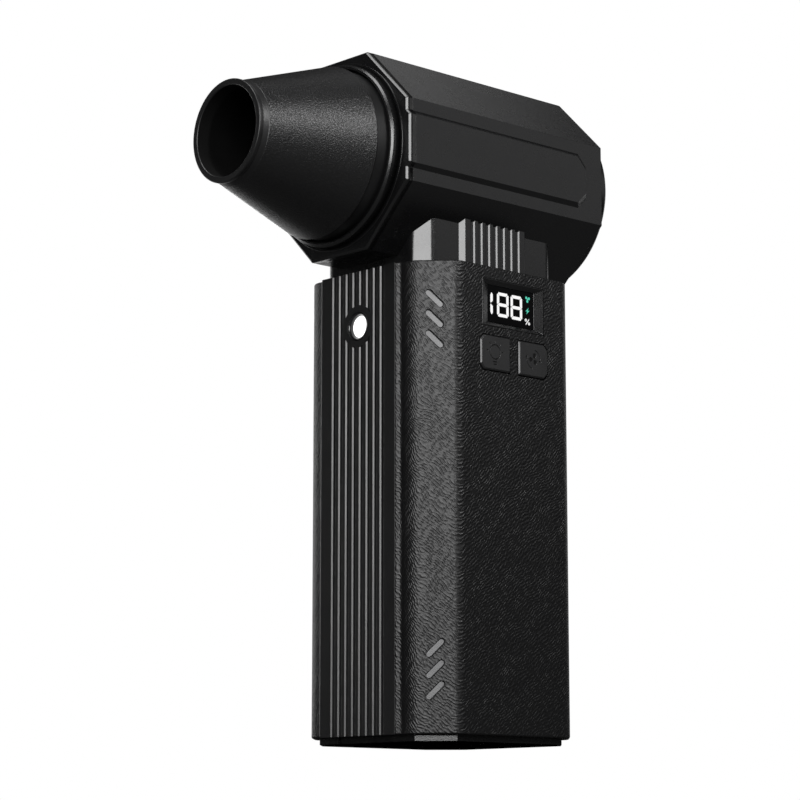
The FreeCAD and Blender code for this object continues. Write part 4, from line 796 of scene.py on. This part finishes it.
def slot_shapes(name, side, middle, lean, length, width, shift, low, high):
    """Three slanted bars across a front chamfer, between two depths under the leather's face."""
    angle = math.radians(lean)
    reach = (length - width) / 2
    dy, dz = reach * math.cos(angle), reach * math.sin(angle)
    outlines = []
    for index in (-1, 0, 1):
        rise = index * SLOT_RISE
        outlines.append(bar_outline(shift - dy, rise - dz, shift + dy, rise + dz, width))
    piece = prism(name, outlines, low, high, "Y")
    turn = Matrix.Rotation(math.radians(45), 4, "Z")
    piece.data.transform(Matrix.Translation(Vector((*CHAMFER_MIDDLE, middle)) * MM) @ turn)
    if side < 0:
        piece.data.transform(Matrix.Diagonal((-1, 1, 1, 1)))
        piece.data.flip_normals()
    return piece


def make_leather(slots, materials):
    """The skin with openings for the display, buttons, port and slots, and the grey bars in the slots."""
    piece = leather_skin()
    openings = [button_opening(side) for side in (-1, 1)]
    openings.append([(-DISPLAY_HALF, DISPLAY_LOW), (DISPLAY_HALF, DISPLAY_LOW),
                     (DISPLAY_HALF, DISPLAY_HIGH), (-DISPLAY_HALF, DISPLAY_HIGH)])
    carve(piece, prism("cut_side", openings, OPENING_LOW, OPENING_HIGH))
    port = bar_outline(-PORT_HALF, PORT_Z, PORT_HALF, PORT_Z, PORT_WIDTH)
    carve(piece, prism("cut_port", [port], OPENING_LOW, OPENING_HIGH, "Y"))
    for side in (-1, 1):
        for middle, lean in SLOT_GROUPS:
            carve(piece, slot_shapes("cut_slots", side, middle, lean, **SLOT_CUT))
            bars = slot_shapes("slot_bars_%d_%d" % (side + 1, middle), side, middle, lean, **SLOT_BAR)
            round_edges(bars, 0.12)
            smooth_faces(bars)
            add_detail(bars, materials["slot_bar"], "housing")
    stand_for(piece, "leather_wrap", slots, materials)


# Display: each row of its frame and window is a rectangle's (x, width, height, corner radius)

FRAME_ROWS = (
    (25.8, 23.4, 13.0, 0.3), (28.7, 23.4, 13.0, 0.3), (28.8, 23.2, 12.8, 0.25), (28.8, 22.8, 12.4, 0.2),
    (28.7, 22.6, 12.2, 0.2), (27.85, 17.8, 10.3, 0.15), (27.7, 17.7, 10.2, 0.15), (27.5, 17.7, 10.2, 0.15),
    (27.5, 18.9, 11.4, 0.15), (25.8, 18.9, 11.4, 0.15),
)
WINDOW_ROWS = (
    (26.75, 18.7, 11.2, 0.2), (27.45, 18.7, 11.2, 0.2), (27.45, 17.6, 10.1, 0.15), (27.72, 17.6, 10.1, 0.15),
    (27.8, 17.44, 9.94, 0.15),
)
FIGURES_LOW, FIGURES_HIGH = 27.79, 27.83
DIGIT_LOW, DIGIT_HIGH = 113.6, 120.28


def rectangle_loop(x, width, height, corner):
    y, z = width / 2, height / 2
    outline = [(-y, -z, corner), (y, -z, corner), (y, z, corner), (-y, z, corner)]
    return [(x, a, DISPLAY_Z + b) for a, b in round_path(outline, 4)]


def digit_eight(centre):
    """Seven bars of a lit figure: top and bottom, the middle one, and the upright ones."""
    half, width, gap = 2.2, 0.86, 0.07
    middle, slant = (DIGIT_LOW + DIGIT_HIGH) / 2, width * 0.62
    left, right = centre - half, centre + half
    ends = ((DIGIT_LOW, 1), (DIGIT_HIGH, -1))
    bars = []
    for z, sign in ends:
        inner, shoulder = z + sign * width, z + sign * width * 0.38
        bars.append([(left + slant + gap, z), (right - slant - gap, z), (right - slant * 0.5 - gap, shoulder),
                     (right - width - gap, inner), (left + width + gap, inner),
                     (left + slant * 0.5 + gap, shoulder)])
    above, below = middle + width / 2, middle - width / 2
    bars.append([(left + gap + 0.2, middle), (left + width, above), (right - width, above),
                 (right - gap - 0.2, middle), (right - width, below), (left + width, below)])
    for side, edge in ((1, left), (-1, right)):
        for z, sign in ends:
            inner, end = edge + side * width, middle - sign * gap
            bars.append([(edge, z + sign * (slant + gap)),
                         (edge + side * slant * 0.45, z + sign * (width * 0.42 + gap)),
                         (inner, z + sign * (width + gap)), (inner, end - sign * (width / 2 + gap)),
                         (edge + side * 0.2, end), (edge, end - sign * 0.15)])
    return bars


def digit_one(centre):
    """Two narrow bars, one above the other."""
    half, low, high = 0.45, 113.85, 119.85
    middle = (low + high) / 2
    bars = []
    for z, sign in ((low, 1), (high, -1)):
        end = middle - sign * 0.12
        bars.append([(centre - half, z + sign * 0.75), (centre - half * 0.15, z),
                     (centre + half * 0.3, z + sign * 0.1), (centre + half, z + sign * 0.5),
                     (centre + half, end - sign * 0.6), (centre - half * 0.75, end),
                     (centre - half, end - sign * 0.25)])
    return bars


def percent_sign(y, z):
    """A slanted stroke between two rings."""
    outlines = [bar_outline(y - 0.55, z - 0.68, y + 0.55, z + 0.68, 0.26)]
    for sign in (-1, 1):
        outlines.append(ring_outline(y - sign * 0.62, z + sign * 0.44, 0.4, 0.16, 18))
    return outlines


def bolt_sign(y, z):
    points = [(0.42, 0.95), (-0.72, -0.12), (-0.08, -0.12), (-0.42, -0.95), (0.72, 0.16), (0.08, 0.16)]
    return [[(y + a, z + b) for a, b in points]]


def fan_blades(y, z, reach, turn):
    """Three teardrop blades."""
    blades = []
    for blade in range(3):
        base = math.radians(turn + 120 * blade)
        points = []
        for k in range(13):
            t = k / 12
            radius = reach * (0.22 + 0.78 * math.sin(math.pi * t) ** 0.5)
            points.append(on_circle(y, z, radius, base - 0.7 + 1.55 * t))
        blades.append(points)
    return blades


def fan_sign(y, z, reach):
    """Three blades and a round hub."""
    hub = [on_circle(y, z, reach * 0.2, 2 * math.pi * k / 10) for k in range(10)]
    return fan_blades(y, z, reach, 20.0) + [hub]


def make_display(slots, materials):
    for node, rows, cap in (("display_frame", FRAME_ROWS, False), ("display_window", WINDOW_ROWS, True)):
        piece = loft(node + "_dressed", [rectangle_loop(*row) for row in rows], cap)
        stand_for(piece, node, slots, materials)
    white = digit_eight(-3.02) + digit_eight(2.18) + digit_one(-7.28) + percent_sign(6.4, 113.64)
    teal = bolt_sign(6.45, 116.65) + fan_sign(6.5, 119.95, 0.98)
    for name, outlines, material in (("display_figures", white, "figures"), ("display_signs", teal, "signs")):
        piece = prism(name, outlines, FIGURES_LOW, FIGURES_HIGH)
        add_detail(piece, materials[material], "housing")


# Buttons: each level has an x and an inset, from the flange under the leather to the bevelled rim

BUTTON_LEVELS = (
    (25.7, -0.7), (26.5, -0.7), (26.5, 0.0), (28.9, 0.0), (28.95, 0.02), (29.27, 0.34), (29.3, 0.42),
)
ICON_Z = 103.3
ICON_SHIFT = 0.25


def button_outline(side, inset):
    """A rectangle whose outer corners are cut, drawn in by an inset, as (y, z, corner radius)."""
    inner, outer = side * BUTTON_Y - side * BUTTON_HALF, side * BUTTON_Y + side * BUTTON_HALF
    cut, drawn = BUTTON_CUT, inset * 0.41
    return [(inner + side * inset, BUTTON_LOW + inset, 0.3),
            (outer - side * (cut + drawn), BUTTON_LOW + inset, 0.4),
            (outer - side * inset, BUTTON_LOW + cut + drawn, 0.4),
            (outer - side * inset, BUTTON_HIGH - cut - drawn, 0.4),
            (outer - side * (cut + drawn), BUTTON_HIGH - inset, 0.4),
            (inner + side * inset, BUTTON_HIGH - inset, 0.3)]


def bulb_icon(y, z):
    """A ring with five rays over it and two lines under it."""
    outlines = [ring_outline(y, z, 2.1, 1.78, 44)]
    for turn in (90, 48, 132, 4, 176):
        a = math.radians(turn)
        outlines.append(bar_outline(*on_circle(y, z, 2.65, a), *on_circle(y, z, 3.1, a), 0.34))
    for half, drop in ((0.85, 2.7), (0.5, 3.35)):
        outlines.append(bar_outline(y - half, z - drop, y + half, z - drop, 0.32))
    return outlines


def fan_icon(y, z):
    """Three blades between two arcs with arrowheads."""
    y, z = y - 0.3, z - 0.1
    outlines = fan_blades(y, z, 1.75, 65)
    for start in (-5, 175):
        outlines.append(ring_outline(y, z, 2.75, 2.45, 20, start, start + 85))
    for start in (-5, 175):
        a = math.radians(start)
        tip = Vector(on_circle(y, z, 2.6, a))
        along = Vector((math.sin(a), -math.cos(a)))
        across = Vector((math.cos(a), math.sin(a)))
        outlines.append([tuple(tip + along * 0.75), tuple(tip + across * 0.55 + along * 0.05),
                         tuple(tip - across * 0.55 + along * 0.05)])
    return outlines


def make_buttons(slots, materials):
    """Cap with a bevelled rim and a flange under the leather, and the icon as a groove with a near-black fill
    that is painted shade for the engraved lines.
    """
    for name, side, icon in (("light_button", -1, bulb_icon), ("fan_button", 1, fan_icon)):
        loops = [[(x, y, z) for y, z in round_path(button_outline(side, inset), 4)]
                 for x, inset in BUTTON_LEVELS]
        piece = loft(name + "_dressed", loops)
        lines = icon(side * (BUTTON_Y + ICON_SHIFT), ICON_Z)
        carve(piece, prism("cut_icon", lines, 29.1, 29.6))
        stand_for(piece, name, slots, materials, name)
        # The near-black fill in the icon's groove is painted shade for the engraved lines.
        groove_shade = prism(name + "_icon", lines, 29.0, 29.12)
        add_detail(groove_shade, materials["icon_groove_shade"], name)


# Lamp: its ring and its lens, as closed paths of (y, radius, corner radius)

LAMP_RING = [(-30.65, 3.9, 0.12), (-26.5, 3.95, 0), (-26.5, 3.0, 0), (-29.95, 3.0, 0), (-30.65, 3.55, 0.15)]
LAMP_LENS = [(-28.45, 0.01, 0), (-30.02, 0.01, 0), (-29.98, 1.4, 0), (-29.85, 2.5, 0.3), (-29.6, 2.98, 0.15),
             (-28.45, 2.98, 0.1)]


def make_lamp_pieces(slots, materials):
    """The glossy ring and the frosted lens high on the front panel."""
    for node, profile in (("lamp_ring", LAMP_RING), ("lamp_lens", LAMP_LENS)):
        piece = lathe(node + "_dressed", profile, axis_z=LAMP_Z, segments=96)
        stand_for(piece, node, slots, materials)


make_camera()
make_world()
make_floor()
for lamp in LAMPS:
    make_lamp(*lamp)
materials = make_materials()
slots = paint_nodes(materials)
soften_nodes(slots, materials)
make_nozzle(slots, materials)
make_bezel(slots, materials)
make_leather(slots, materials)
make_display(slots, materials)
make_buttons(slots, materials)
make_lamp_pieces(slots, materials)

scene.view_settings.view_transform = "Standard"
